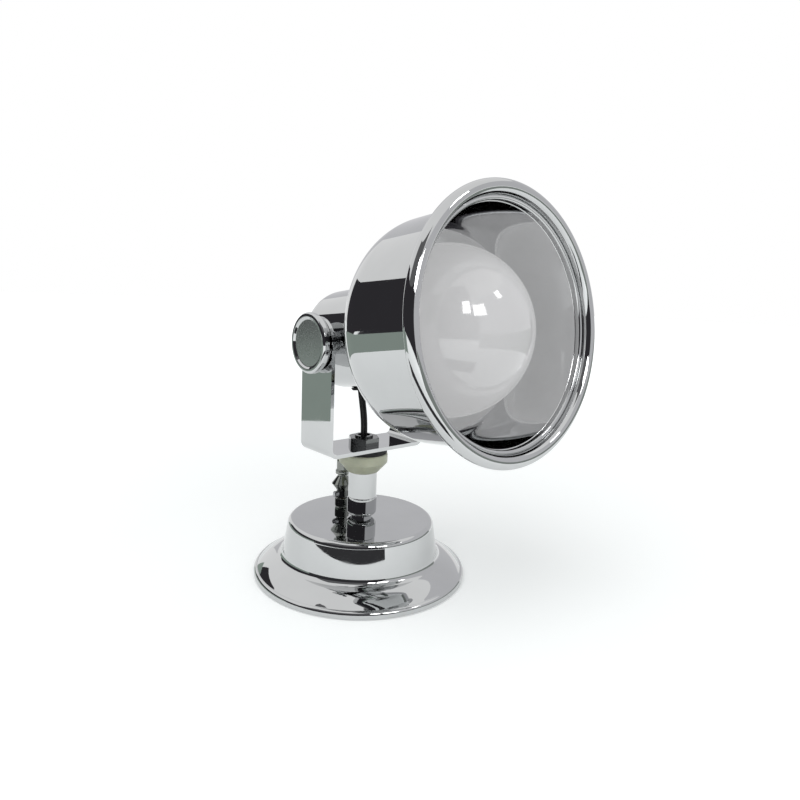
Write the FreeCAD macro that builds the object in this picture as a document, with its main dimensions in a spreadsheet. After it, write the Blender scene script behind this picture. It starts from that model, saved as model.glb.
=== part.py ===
import FreeCAD, Part
import math
import os
import Sketcher

# Tabletop searchlight lamp: a weighted round base, a turning post, an open yoke,
# and a chromed reflector that tilts in the yoke on two studs.
# Frame: origin on the table under the post, +Z up, the lamp shines towards -Y,
# and the pivot axis of the reflector runs along X.

V = FreeCAD.Vector
doc = FreeCAD.newDocument("searchlight_lamp")
sheet = doc.addObject("Spreadsheet::Sheet", "Sizes")

# Driving dimensions in millimetres and degrees

SIZES = [
    # Base
    ("base_radius", 59.0, "outer edge of the base"),
    ("lip_round", 2.0, "rounding of the base's edge"),
    ("lip_top", 4.2, "top of the base's edge above the table"),
    ("lip_clearance", 0.6, "air under the base's edge"),
    ("saucer_top", 10.2, "height of the saucer at the fillet"),
    ("saucer_curve", 25.0, "radius of the saucer's crown"),
    ("drum_foot_radius", 43.2, "drum radius just over the fillet"),
    ("saucer_step", 3.3, "width of the fillet between drum and saucer"),
    ("drum_foot_top", 14.0, "height of the top of the fillet"),
    ("drum_fillet", 4.0, "fillet between saucer and drum"),
    ("drum_taper", 2.4, "how much the drum narrows towards its top"),
    ("drum_round", 3.0, "rounding of the drum's top edge"),
    ("base_height", 31.0, "top of the drum above the table"),
    ("cover_wall", 1.2, "sheet thickness of the base cover"),
    ("pad_thickness", 1.2, "foot pad"),
    ("plate_thickness", 1.2, "base plate"),
    ("plate_gap", 0.6, "air between the plate and the cover's edge"),
    ("weight_side_air", 3.0, "air between the weight and the drum's foot"),
    ("weight_top_air", 2.8, "air between the weight and the switch"),
    ("well_radius", 10.0, "counterbore under the weight"),
    ("well_depth", 6.0, "counterbore under the weight"),
    ("screw_circle", 30.0, "radius of the base screws' circle"),
    ("screw_radius", 1.5, "base screws"),
    ("screw_length", 8.6, "base screws under the head"),
    ("screw_head_radius", 2.8, "base screws"),
    ("screw_head_height", 0.9, "base screws"),
    ("pad_hole_air", 0.5, "air in the pad round the screw heads"),
    # Stem, swivel and post
    ("shank_radius", 5.0, "threaded shank of the swivel stem"),
    ("wire_bore", 3.5, "bore for the leads through stem and nipple"),
    ("stem_end", 0.6, "shank's end under its nut"),
    ("thread_clearance", 0.05, "between a thread and its nut"),
    ("slip_clearance", 0.1, "between a shank and a plain hole"),
    ("running_clearance", 0.08, "between turning faces"),
    ("neck_step", 0.6, "neck of the swivel stem, over the shank"),
    ("neck_height", 5.0, "neck of the swivel stem"),
    ("head_step", 1.0, "captive head of the swivel stem, over the neck"),
    ("head_height", 3.0, "captive head of the swivel stem"),
    ("barrel_gap", 1.4, "neck that shows under the barrel"),
    ("barrel_radius", 8.3, "swivel barrel"),
    ("barrel_round", 2.6, "rounding under the barrel"),
    ("barrel_top", 12.0, "top of the barrel over the base"),
    ("barrel_edge", 0.5, "chamfer at the barrel's top"),
    ("spring_height", 0.9, "friction washer in the swivel"),
    ("spring_bore", 4.2, "friction washer in the swivel"),
    ("post_radius", 8.0, "post tube"),
    ("post_height", 14.5, "post tube over the barrel"),
    ("spacer_radius", 7.5, "spacer between the weight and the cover"),
    ("nut_flats", 14.0, "nut under the weight"),
    ("nut_height", 3.4, "nut under the weight"),
    ("nut_washer_radius", 9.0, "washer under the weight"),
    ("nut_washer_height", 1.0, "washer under the weight"),
    # Washer stack and yoke
    ("cone_radius", 13.5, "insulating washer, outer"),
    ("cone_small_radius", 8.6, "insulating washer, at the post"),
    ("cone_height", 5.6, "conical part of the insulating washer"),
    ("cone_band", 5.2, "upright band of the insulating washer"),
    ("gasket_radius", 13.1, "dark gasket under the yoke"),
    ("gasket_height", 2.7, "dark gasket under the yoke"),
    ("yoke_depth", 26.6, "width of the yoke's strap"),
    ("yoke_strap", 2.0, "thickness of the yoke's strap"),
    ("yoke_bend", 3.0, "inner radius of the yoke's bends"),
    ("pivot_height", 129.0, "pivot axis above the table"),
    ("yoke_nut_flats", 15.5, "nut on the yoke's floor"),
    ("yoke_nut_height", 4.0, "nut on the yoke's floor"),
    ("nut_chamfer", 0.8, "chamfer on both nuts"),
    ("nipple_bite", 10.0, "nipple's depth in the post"),
    ("nipple_stand", 1.0, "nipple's end above the nut"),
    # Pivot hardware, measured along X from the middle
    ("stud_radius", 3.0, "pivot studs"),
    ("stud_head_radius", 5.0, "heads inside the socket cup"),
    ("stud_head_height", 2.7, "head inside the socket cup"),
    ("stud_bite", 3.0, "thread inside the knob"),
    ("boss_radius", 6.5, "spacer between cup and yoke"),
    ("boss_height", 2.4, "spacer between cup and yoke"),
    ("boss_gap", 0.1, "air between the boss and the cup's crown"),
    ("washer_height", 0.8, "friction washers at the yoke"),
    ("inner_washer_radius", 7.0, "friction washer inside the yoke"),
    ("outer_washer_radius", 8.0, "friction washer under the knob"),
    ("knob_radius", 15.3, "thumb knob"),
    ("knob_taper", 1.4, "how much the knob narrows towards the yoke"),
    ("knob_flare", 2.2, "height of the knob's flared back"),
    ("knob_height", 5.2, "thumb knob"),
    ("knob_lip", 1.5, "rounding of the knob's lip"),
    ("dish_land", 0.8, "flat between the lip and the dish"),
    ("dish_slope", 1.2, "slope between lip and dish"),
    ("dish_depth", 0.9, "depth of the knob's dish"),
    # Switch
    ("switch_offset", 18.5, "switch behind the post"),
    ("switch_width", 14.0, "switch body along X"),
    ("switch_length", 15.0, "switch body along Y"),
    ("switch_depth", 12.0, "switch body under the cover"),
    ("bushing_radius", 3.5, "threaded bushing of the switch"),
    ("bushing_height", 5.4, "bushing above the cover"),
    ("ferrule_radius", 4.2, "round nut on the bushing"),
    ("ferrule_height", 5.8, "round nut on the bushing"),
    ("ferrule_round", 1.4, "rounding of the nut"),
    ("shaft_radius", 1.5, "switch shaft"),
    ("shaft_drop", 9.0, "shaft under the cover"),
    ("shaft_bite", 8.0, "shaft inside the knob"),
    ("finial_gap", 0.3, "air between the nut and the switch knob"),
    ("finial_neck", 3.3, "necks of the switch knob"),
    ("finial_neck_height", 4.4, "lower neck of the switch knob"),
    ("finial_ring", 6.3, "grip ring of the switch knob"),
    ("finial_ring_rise", 3.8, "underside of the grip ring"),
    ("finial_ring_fall", 4.6, "top side of the grip ring"),
    ("finial_waist", 2.9, "waist over the grip ring"),
    ("finial_waist_height", 0.9, "waist over the grip ring"),
    ("finial_collar", 4.2, "collar of the switch knob"),
    ("finial_collar_height", 2.8, "collar of the switch knob"),
    ("finial_cap", 3.6, "cap of the switch knob"),
    ("finial_cap_height", 6.6, "cap of the switch knob"),
    ("finial_round", 1.6, "rounding of the cap"),
    ("grub_radius", 1.1, "set screw of the switch knob"),
    ("grub_head_radius", 1.8, "set screw of the switch knob"),
    ("grub_head_length", 2.6, "set screw of the switch knob"),
    # Cable inlet at the back of the base
    ("inlet_radius", 3.9, "hole in the cover"),
    ("grommet_bore", 2.6, "bore of the inlet grommet"),
    ("grommet_flange", 5.6, "flanges of the inlet grommet"),
    ("grommet_flange_height", 1.4, "flanges of the inlet grommet"),
    ("grommet_slope", 0.45, "air that the drum's curve needs inside"),
    # Reflector, measured along its own axis from the pivot
    ("tilt", 7.6, "upward tilt of the reflector at rest, degrees"),
    ("axis_lift", 2.0, "reflector's axis above the pivot"),
    ("cup_back", 27.9, "socket cup behind the pivot"),
    ("cup_front", 19.0, "socket cup ahead of the pivot"),
    ("cup_radius", 26.7, "socket cup"),
    ("cup_wall", 1.2, "socket cup"),
    ("cup_round", 12.0, "rounding of the cup's back edge"),
    ("bowl_wall", 1.0, "reflector bowl"),
    ("skirt_gap", 0.2, "between the bowl's hole and the holder's skirt"),
    ("neck_gap", 1.0, "step from the cup out to the bowl's neck"),
    ("bowl_back_curve", 120.0, "curve at the back of the bowl"),
    ("bowl_side_curve", 23.0, "curve at the shoulder of the bowl"),
    ("bowl_shoulder", 44.5, "slope at which the two curves meet, degrees"),
    ("bowl_radius", 52.5, "straight part of the bowl"),
    ("bowl_straight", 59.0, "start of the straight part"),
    ("edge_back", 3.6, "bowl's edge behind the bead's centre"),
    ("ring_clearance", 0.05, "between the rim ring and the bowl"),
    ("skirt_back", 7.7, "rim ring's back edge behind the bead's centre"),
    ("ring_skirt_edge", 0.5, "thickness of that edge"),
    ("ring_flare", 16.0, "concave curve of the rim ring"),
    ("bead_radius", 3.1, "rolled bead of the rim"),
    ("bead_out", 4.4, "bead's centre line outside the bowl"),
    ("bead_front", 98.2, "bead's centre ahead of the pivot"),
    ("bead_root", 55.0, "angle at which the flare meets the bead, degrees"),
    ("groove_angle", 25.0, "angle at which the groove meets the bead, degrees"),
    ("lip_bead", 1.0, "small bead inside the rim"),
    ("lip_in", 0.7, "rim's inner edge inside the bowl's outer face"),
    ("lip_back", 2.0, "inner bead behind the bead's centre"),
    # Lamp holder and bulb
    ("holder_foot", 13.0, "back boss of the lamp holder"),
    ("holder_foot_height", 3.6, "back boss of the lamp holder"),
    ("holder_radius", 18.4, "lamp holder body"),
    ("holder_skirt", 20.4, "threaded skirt of the lamp holder"),
    ("holder_skirt_start", 12.0, "start of the skirt ahead of the pivot"),
    ("skirt_wall", 1.8, "wall of the holder's mouth"),
    ("holder_floor", 15.0, "floor of the shell's bore behind the pivot"),
    ("holder_step", 10.0, "step between that bore and the mouth"),
    ("clamp_height", 2.8, "clamp ring inside the bowl"),
    ("clamp_radius", 23.6, "clamp ring inside the bowl"),
    ("clamp_clearance", 0.15, "between the clamp ring and the skirt"),
    ("shell_gap", 0.15, "between the screw shell and the bulb cap"),
    ("shell_wall", 0.8, "screw shell"),
    ("cap_radius", 13.2, "bulb cap"),
    ("cap_front", 9.0, "front of the bulb cap"),
    ("cap_length", 19.0, "straight part of the bulb cap"),
    ("cap_taper", 3.0, "tapered end of the bulb cap"),
    ("cap_end_radius", 7.5, "end of the bulb cap"),
    ("cap_wall", 0.5, "bulb cap"),
    ("contact_radius", 4.5, "bulb contact"),
    ("contact_height", 1.2, "bulb contact"),
    ("globe_radius", 40.0, "opal globe of the bulb"),
    ("mouth_air", 5.2, "between the holder's mouth and the globe's sphere"),
    ("globe_wall", 1.0, "glass"),
    ("neck_glass_radius", 13.9, "glass neck at the cap"),
    ("neck_glass_front", 18.0, "start of the glass neck's flare"),
    ("neck_glass_curve", 6.9, "curve between neck and globe"),
    ("globe_joint", 17.6, "radius where the neck meets the globe"),
    ("back_screw_offset", 9.0, "screws in the cup's back"),
    ("back_screw_radius", 1.45, "screws in the cup's back"),
    ("back_screw_head", 2.9, "screws in the cup's back"),
    ("back_screw_head_height", 1.8, "screws in the cup's back"),
    ("back_screw_bite", 4.4, "screws in the holder"),
    # Leads
    ("lead_radius", 0.95, "each insulated lead"),
    ("lead_spread", 1.1, "half the distance between the leads"),
    ("lead_start", 9.0, "lower end of the leads under the yoke, inside the nipple"),
    ("lead_bend", 8.0, "leads' gentle bend above the nipple"),
    ("lead_curve", 60.0, "radius of that bend"),
    ("entry_back", 8.0, "lead entry behind the pivot, along the cup"),
    ("entry_bore", 2.5, "bore of the entry grommet"),
    ("entry_neck", 3.5, "neck of the entry grommet"),
    ("entry_flange", 5.0, "flanges of the entry grommet"),
    ("entry_flange_height", 1.3, "flanges of the entry grommet"),
    ("entry_seat", 0.65, "air that the cup's curve needs at a flange"),
    ("lead_end", 1.2, "leads' ends above the inner flange"),
]

for row, (alias, number, meaning) in enumerate(SIZES, start=1):
    sheet.set("A%d" % row, meaning)
    sheet.set("B%d" % row, repr(number))
    sheet.setAlias("B%d" % row, alias)
doc.recompute()


class Size:
    """A length from the sheet, or a sum of them, as its number and its expression."""

    def __init__(self, value, text):
        self.value = value
        self.text = text

    def __add__(self, other):
        other = size(other)
        return Size(self.value + other.value, "(%s + %s)" % (self.text, other.text))

    def __radd__(self, other):
        return size(other) + self

    def __sub__(self, other):
        other = size(other)
        return Size(self.value - other.value, "(%s - %s)" % (self.text, other.text))

    def __rsub__(self, other):
        return size(other) - self

    def __mul__(self, other):
        other = size(other)
        return Size(self.value * other.value, "(%s * %s)" % (self.text, other.text))

    def __rmul__(self, other):
        return size(other) * self

    def __truediv__(self, other):
        other = size(other)
        return Size(self.value / other.value, "(%s / %s)" % (self.text, other.text))

    def __neg__(self):
        return Size(-self.value, "(0 - %s)" % self.text)


def size(number):
    if isinstance(number, Size):
        return number
    return Size(float(number), repr(float(number)))


def cosine(angle):
    return Size(math.cos(math.radians(angle.value)), "cos(%s * 1 deg)" % angle.text)


def sine(angle):
    return Size(math.sin(math.radians(angle.value)), "sin(%s * 1 deg)" % angle.text)


def root(amount):
    return Size(math.sqrt(amount.value), "sqrt(%s)" % amount.text)


def arctangent(slope):
    return Size(math.degrees(math.atan(slope.value)), "(atan(%s) / 1 deg)" % slope.text)


class Sheet:
    """The cells of the sheet as attributes."""

    def __getattr__(self, alias):
        return Size(float(sheet.get(alias)), "Sizes." + alias)


S = Sheet()


def bind(thing, name, amount):
    thing.setExpression(name, size(amount).text)


def place(thing, x=0, y=0, z=0, axis=None, angle=0):
    """Put a finished sub-part in the lamp's frame."""
    if axis is not None:
        thing.Placement = FreeCAD.Placement(V(0, 0, 0), FreeCAD.Rotation(axis, size(angle).value))
        bind(thing, "Placement.Rotation.Angle", angle)
    bind(thing, "Placement.Base.x", x)
    bind(thing, "Placement.Base.y", y)
    bind(thing, "Placement.Base.z", z)
    return thing


# Sketches


def new_body(label):
    body = doc.addObject("PartDesign::Body", label)
    body.Label = label
    return body


def new_sketch(body, role, name):
    sketch = body.newObject("Sketcher::SketchObject", name)
    for plane in body.Origin.OriginFeatures:
        if plane.Role == role:
            sketch.AttachmentSupport = [(plane, "")]
    sketch.MapMode = "FlatFace"
    return sketch


def hold(sketch, element, position, x, y):
    """Hold a point of an element at its distances from the sketch's axes."""
    for kind, axis, amount in (("DistanceX", -2, size(x)), ("DistanceY", -1, size(y))):
        if abs(amount.value) < 1e-9:
            sketch.addConstraint(Sketcher.Constraint("PointOnObject", element, position, axis))
            continue
        if amount.value > 0:
            rule = Sketcher.Constraint(kind, -1, 1, element, position, amount.value)
        else:
            amount = -amount
            rule = Sketcher.Constraint(kind, element, position, -1, 1, amount.value)
        dimension(sketch, rule, amount)


def dimension(sketch, rule, amount):
    index = sketch.addConstraint(rule)
    sketch.setExpression("Constraints[%d]" % index, amount.text)


def draw(sketch, corners):
    """Draw a closed outline. A corner is (across, up), or (across, up, radius), where
    the radius makes the side that follows an arc, to the left of the way if positive."""
    count = len(corners)
    points = [V(size(c[0]).value, size(c[1]).value, 0) for c in corners]
    first = sketch.GeometryCount
    for i, corner in enumerate(corners):
        start = points[i]
        end = points[(i + 1) % count]
        if len(corner) == 2:
            sketch.addGeometry(Part.LineSegment(start, end), False)
            continue
        radius = corner[2].value
        way = end - start
        left = V(-way.y, way.x, 0).normalize()
        half = way.Length / 2
        rise = abs(radius) - math.sqrt(max(radius * radius - half * half, 0.0))
        middle = (start + end) * 0.5 + left * math.copysign(rise, radius)
        arc = Part.Arc(start, middle, end)
        sketch.addGeometry(arc, False)
    for i, corner in enumerate(corners):
        after = (i + 1) % count
        leaving = 2 if is_forward(sketch, first + i, points[i]) else 1
        arriving = 1 if is_forward(sketch, first + after, points[after]) else 2
        sketch.addConstraint(Sketcher.Constraint("Coincident", first + i, leaving, first + after, arriving))
        hold(sketch, first + after, arriving, corners[after][0], corners[after][1])
    for i, corner in enumerate(corners):
        if len(corner) == 3:
            radius = corner[2] if corner[2].value > 0 else -corner[2]
            dimension(sketch, Sketcher.Constraint("Radius", first + i, radius.value), radius)


def is_forward(sketch, element, start):
    """An arc is stored counterclockwise, so its start may be the outline's end."""
    return sketch.getPoint(element, 1).isEqual(start, 1e-6)


def draw_circle(sketch, x, y, radius):
    radius = size(radius)
    centre = V(size(x).value, size(y).value, 0)
    element = sketch.addGeometry(Part.Circle(centre, V(0, 0, 1), radius.value), False)
    dimension(sketch, Sketcher.Constraint("Radius", element, radius.value), radius)
    hold(sketch, element, 3, x, y)


# Ways of making a sub-part


def turned(label, corners):
    """A body turned about its own Z axis from an outline of (radius, height)."""
    body = new_body(label)
    sketch = new_sketch(body, "XZ_Plane", label + "_outline")
    draw(sketch, corners)
    turn = body.newObject("PartDesign::Revolution", label + "_turn")
    turn.Profile = sketch
    turn.ReferenceAxis = (sketch, ["V_Axis"])
    turn.Angle = 360
    doc.recompute()
    return body


def ring(label, bore, radius, height):
    corners = [(bore, 0), (radius, 0), (radius, height), (bore, height)]
    return turned(label, corners)


def drill(body, name, role, holes, depth, reverse):
    """Cut round holes of (across, up, radius) from an origin plane, one way."""
    before = body.Shape.Volume
    sketch = new_sketch(body, role, name + "_holes")
    for x, y, radius in holes:
        draw_circle(sketch, x, y, radius)
    pocket = body.newObject("PartDesign::Pocket", name)
    pocket.Profile = sketch
    bind(pocket, "Length", depth)
    pocket.Reversed = reverse
    doc.recompute()
    if not body.Shape.Volume < before:
        raise RuntimeError(name + " cuts nothing")


def hex_nut(label, flats, bore, height):
    """A six-sided nut with turned corners, standing on its own origin."""
    prism = doc.addObject("Part::Prism", label + "_six")
    prism.Polygon = 6
    bind(prism, "Circumradius", flats / math.sqrt(3.0))
    bind(prism, "Height", height)
    corner = flats / math.sqrt(3.0) - S.nut_chamfer
    blank = doc.addObject("Part::Cone", label + "_corners")
    bind(blank, "Radius1", corner + height * math.sqrt(3.0))
    bind(blank, "Radius2", corner)
    bind(blank, "Height", height)
    both = doc.addObject("Part::MultiCommon", label + "_blank")
    both.Shapes = [prism, blank]
    hole = doc.addObject("Part::Cylinder", label + "_bore")
    bind(hole, "Radius", bore)
    bind(hole, "Height", height)
    nut = doc.addObject("Part::Cut", label)
    nut.Base = both
    nut.Tool = hole
    nut.Label = label
    return nut


pieces = []


def keep(piece):
    pieces.append(piece)
    return piece


# Base

plate_bottom = S.pad_thickness
weight_bottom = plate_bottom + S.plate_thickness
cover_underside = S.base_height - S.cover_wall
weight_top = cover_underside - S.switch_depth - S.weight_top_air
stem_hole = S.shank_radius + S.slip_clearance
drum_straight = S.base_height - S.drum_round
drum_radius = S.drum_foot_radius - S.drum_taper
inlet_height = (S.drum_foot_top + drum_straight) / 2
nut_bottom = weight_bottom + S.well_depth - S.nut_washer_height - S.nut_height


def base_cover():
    wall = S.cover_wall
    crown = S.base_radius - S.lip_round
    saucer = S.drum_foot_radius + S.saucer_step
    corners = [
        (S.base_radius, S.lip_clearance),
        (S.base_radius, S.lip_top - S.lip_round, -S.lip_round),
        (crown, S.lip_top, -S.saucer_curve),
        (saucer, S.saucer_top, S.drum_fillet),
        (S.drum_foot_radius, S.drum_foot_top),
        (drum_radius, drum_straight, -S.drum_round),
        (drum_radius - S.drum_round, S.base_height),
        (stem_hole, S.base_height),
        (stem_hole, cover_underside),
        (drum_radius - S.drum_round, cover_underside, S.drum_round - wall),
        (drum_radius - wall, drum_straight),
        (S.drum_foot_radius - wall, S.drum_foot_top, -(S.drum_fillet + wall)),
        (saucer - wall / 2, S.saucer_top - wall, S.saucer_curve - wall),
        (crown, S.lip_top - wall, S.lip_round - wall),
        (S.base_radius - wall, S.lip_top - S.lip_round),
        (S.base_radius - wall, S.lip_clearance),
    ]
    body = turned("base_cover", corners)
    switch_hole = S.bushing_radius + S.slip_clearance
    drill(body, "switch_hole", "XY_Plane", [(0, S.switch_offset, switch_hole)], S.base_height + 1, True)
    drill(body, "inlet_hole", "XZ_Plane", [(0, inlet_height, S.inlet_radius)], S.base_radius, False)
    return body


def screw_holes(radius):
    holes = []
    for turn in (90, 210, 330):
        x = S.screw_circle * round(math.cos(math.radians(turn)), 9)
        y = S.screw_circle * round(math.sin(math.radians(turn)), 9)
        holes.append((x, y, radius))
    return holes


def foot_pad():
    radius = S.base_radius - S.cover_wall - S.plate_gap - S.screw_head_height
    body = turned("foot_pad", [(0, 0), (radius, 0), (radius, S.pad_thickness), (0, S.pad_thickness)])
    drill(body, "pad_holes", "XY_Plane", screw_holes(S.screw_head_radius + S.pad_hole_air), S.pad_thickness, True)
    return body


def base_plate():
    radius = S.base_radius - S.cover_wall - S.plate_gap
    thick = S.plate_thickness
    body = turned("base_plate", [(0, 0), (radius, 0), (radius, thick), (0, thick)])
    drill(body, "plate_holes", "XY_Plane", screw_holes(S.screw_radius + S.slip_clearance), thick, True)
    return place(body, z=plate_bottom)


def base_weight():
    bore = S.shank_radius + S.slip_clearance
    radius = S.drum_foot_radius - S.cover_wall - S.weight_side_air
    height = weight_top - weight_bottom
    corners = [
        (S.well_radius, 0),
        (radius, 0),
        (radius, height),
        (bore, height),
        (bore, S.well_depth),
        (S.well_radius, S.well_depth),
    ]
    body = turned("base_weight", corners)
    depth = S.screw_length
    drill(body, "weight_holes", "XY_Plane", screw_holes(S.screw_radius + S.thread_clearance), depth, True)
    return place(body, z=weight_bottom)


def copies(label, parts):
    """Identical pieces kept together in one node."""
    both = doc.addObject("Part::Compound", label)
    both.Links = parts
    both.Label = label
    return both


def base_screws():
    total = S.screw_head_height + S.screw_length
    screws = []
    for number, (x, y, _) in enumerate(screw_holes(S.screw_radius)):
        screw = turned("base_screw_%d" % number, [
            (0, 0),
            (S.screw_head_radius, 0),
            (S.screw_head_radius, S.screw_head_height),
            (S.screw_radius, S.screw_head_height),
            (S.screw_radius, total),
            (0, total),
        ])
        screws.append(place(screw, x, y, plate_bottom - S.screw_head_height))
    return copies("base_screws", screws)


def weight_washer():
    body = ring("weight_washer", stem_hole, S.nut_washer_radius, S.nut_washer_height)
    return place(body, z=weight_bottom + S.well_depth - S.nut_washer_height)


def weight_nut():
    nut = hex_nut("weight_nut", S.nut_flats, S.shank_radius + S.thread_clearance, S.nut_height)
    return place(nut, z=nut_bottom)


def spacer_tube():
    body = ring("spacer_tube", stem_hole, S.spacer_radius, cover_underside - weight_top)
    return place(body, z=weight_top)


def inlet_grommet():
    """The grommet sits square to the drum's sloping side."""
    fall = S.drum_taper / (drum_straight - S.drum_foot_top)
    radius = S.drum_foot_radius - fall * (inlet_height - S.drum_foot_top)
    inside = -(S.cover_wall + S.grommet_slope)
    neck = S.inlet_radius - S.slip_clearance * 3
    body = turned("inlet_grommet", [
        (S.grommet_bore, inside - S.grommet_flange_height),
        (S.grommet_flange, inside - S.grommet_flange_height),
        (S.grommet_flange, inside),
        (neck, inside),
        (neck, S.slip_clearance),
        (S.grommet_flange, S.slip_clearance),
        (S.grommet_flange, S.slip_clearance + S.grommet_flange_height / 2),
        (S.grommet_flange - S.grommet_flange_height / 2, S.slip_clearance + S.grommet_flange_height),
        (S.grommet_bore, S.slip_clearance + S.grommet_flange_height),
    ])
    return place(body, 0, radius, inlet_height, V(1, 0, 0), arctangent(fall) - 90)


# Switch

ferrule_top = S.base_height + S.ferrule_height
finial_bottom = ferrule_top + S.finial_gap


def switch_body():
    body = new_body("switch_body")
    block = new_sketch(body, "XY_Plane", "switch_block_outline")
    across = S.switch_width / 2
    along = S.switch_length / 2
    draw(block, [(-across, -along), (across, -along), (across, along), (-across, along)])
    pad = body.newObject("PartDesign::Pad", "switch_block")
    pad.Profile = block
    bind(pad, "Length", S.switch_depth)
    stem = new_sketch(body, "XY_Plane", "switch_bushing_outline")
    draw_circle(stem, 0, 0, S.bushing_radius)
    bushing = body.newObject("PartDesign::Pad", "switch_bushing")
    bushing.Profile = stem
    total = S.switch_depth + S.cover_wall + S.bushing_height
    bind(bushing, "Length", total)
    doc.recompute()
    drill(body, "shaft_bore", "XY_Plane", [(0, 0, S.shaft_radius + S.running_clearance)], total, True)
    return place(body, 0, S.switch_offset, cover_underside - S.switch_depth)


def switch_nut():
    bore = S.bushing_radius + S.thread_clearance
    body = turned("switch_nut", [
        (bore, 0),
        (S.ferrule_radius - S.ferrule_round / 4, 0),
        (S.ferrule_radius, S.ferrule_round),
        (S.ferrule_radius, S.ferrule_height - S.ferrule_round / 4),
        (S.ferrule_radius - S.ferrule_round / 4, S.ferrule_height),
        (bore, S.ferrule_height),
    ])
    return place(body, 0, S.switch_offset, S.base_height)


def switch_shaft():
    length = S.shaft_drop + S.ferrule_height + S.finial_gap + S.shaft_bite
    body = turned("switch_shaft", [(0, 0), (S.shaft_radius, 0), (S.shaft_radius, length), (0, length)])
    return place(body, 0, S.switch_offset, S.base_height - S.shaft_drop)


def switch_knob():
    ring_low = S.finial_neck_height + S.finial_ring_rise
    waist = ring_low + S.finial_ring_fall
    collar = waist + S.finial_waist_height
    cap = collar + S.finial_collar_height
    top = cap + S.finial_cap_height
    bore = S.shaft_radius + S.thread_clearance
    body = turned("switch_knob", [
        (bore, 0),
        (S.finial_neck, 0),
        (S.finial_neck, S.finial_neck_height),
        (S.finial_ring, ring_low),
        (S.finial_waist, waist),
        (S.finial_waist, collar),
        (S.finial_collar, collar + S.finial_waist_height / 2),
        (S.finial_collar, cap - S.finial_waist_height / 2),
        (S.finial_cap, cap),
        (S.finial_cap, top - S.finial_round, -S.finial_round),
        (S.finial_cap - S.finial_round, top),
        (0, top),
        (0, S.shaft_bite),
        (bore, S.shaft_bite),
    ])
    hole = S.grub_radius + S.thread_clearance
    height = S.finial_neck_height / 2
    drill(body, "grub_hole", "YZ_Plane", [(0, height, hole)], S.finial_neck + 1, False)
    return place(body, 0, S.switch_offset, finial_bottom)


def knob_screw():
    start = S.shaft_radius + S.thread_clearance
    seat = S.finial_neck + S.thread_clearance
    body = turned("knob_screw", [
        (0, start),
        (S.grub_radius, start),
        (S.grub_radius, seat),
        (S.grub_head_radius, seat),
        (S.grub_head_radius, seat + S.grub_head_length - S.grub_radius / 2),
        (S.grub_radius, seat + S.grub_head_length),
        (0, seat + S.grub_head_length),
    ])
    height = finial_bottom + S.finial_neck_height / 2
    return place(body, 0, S.switch_offset, height, V(0, 1, 0), -90)


# Stem, swivel and post

neck_radius = S.shank_radius + S.neck_step
head_radius = neck_radius + S.head_step
stem_bottom = nut_bottom - S.stem_end
head_bottom = S.neck_height
spigot_bottom = head_bottom + S.head_height + S.spring_height
post_bottom = S.base_height + S.barrel_top
post_top = post_bottom + S.post_height
washer_top = post_top + S.cone_height + S.cone_band
yoke_bottom = washer_top + S.gasket_height
yoke_floor = yoke_bottom + S.yoke_strap
yoke_nut_top = yoke_floor + S.yoke_nut_height
boss_start = S.cup_radius + S.boss_gap
washer_start = boss_start + S.boss_height
arm_inside = washer_start + S.washer_height
arm_outside = arm_inside + S.yoke_strap
knob_start = arm_outside + S.washer_height
thread_hole = S.shank_radius + S.thread_clearance


def swivel_stem():
    drop = S.base_height - stem_bottom
    neck_top = drop + S.neck_height
    body = turned("swivel_stem", [
        (S.wire_bore, 0),
        (S.shank_radius, 0),
        (S.shank_radius, drop),
        (neck_radius, drop),
        (neck_radius, neck_top),
        (head_radius, neck_top),
        (head_radius, neck_top + S.head_height),
        (S.wire_bore, neck_top + S.head_height),
    ])
    return place(body, z=stem_bottom)


def swivel_barrel():
    neck_hole = neck_radius + S.running_clearance
    cavity = head_radius + S.running_clearance
    body = turned("swivel_barrel", [
        (neck_hole, S.barrel_gap),
        (S.barrel_radius - S.barrel_round, S.barrel_gap, -S.barrel_round),
        (S.barrel_radius, S.barrel_gap + S.barrel_round),
        (S.barrel_radius, S.barrel_top - S.barrel_edge),
        (S.barrel_radius - S.barrel_edge, S.barrel_top),
        (cavity, S.barrel_top),
        (cavity, head_bottom),
        (neck_hole, head_bottom),
    ])
    return place(body, z=S.base_height)


def swivel_spring():
    body = ring("swivel_spring", S.spring_bore, head_radius, S.spring_height)
    return place(body, z=S.base_height + head_bottom + S.head_height)


def post_tube():
    step = S.barrel_top - spigot_bottom
    total = step + S.post_height
    body = turned("post_tube", [
        (S.wire_bore, 0),
        (head_radius, 0),
        (head_radius, step),
        (S.post_radius, step),
        (S.post_radius, total),
        (thread_hole, total),
        (thread_hole, total - S.nipple_bite),
        (S.wire_bore, total - S.nipple_bite),
    ])
    return place(body, z=S.base_height + spigot_bottom)


def yoke_nipple():
    bottom = post_top - S.nipple_bite
    body = ring("yoke_nipple", S.wire_bore, S.shank_radius, yoke_nut_top + S.nipple_stand - bottom)
    return place(body, z=bottom)


def insulating_washer():
    top = S.cone_height + S.cone_band
    edge = S.cone_band / 8
    body = turned("insulating_washer", [
        (stem_hole, 0),
        (S.cone_small_radius, 0),
        (S.cone_radius, S.cone_height),
        (S.cone_radius, top - edge),
        (S.cone_radius - edge, top),
        (stem_hole, top),
    ])
    return place(body, z=post_top)


def yoke_gasket():
    return place(ring("yoke_gasket", stem_hole, S.gasket_radius, S.gasket_height), z=washer_top)


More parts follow.
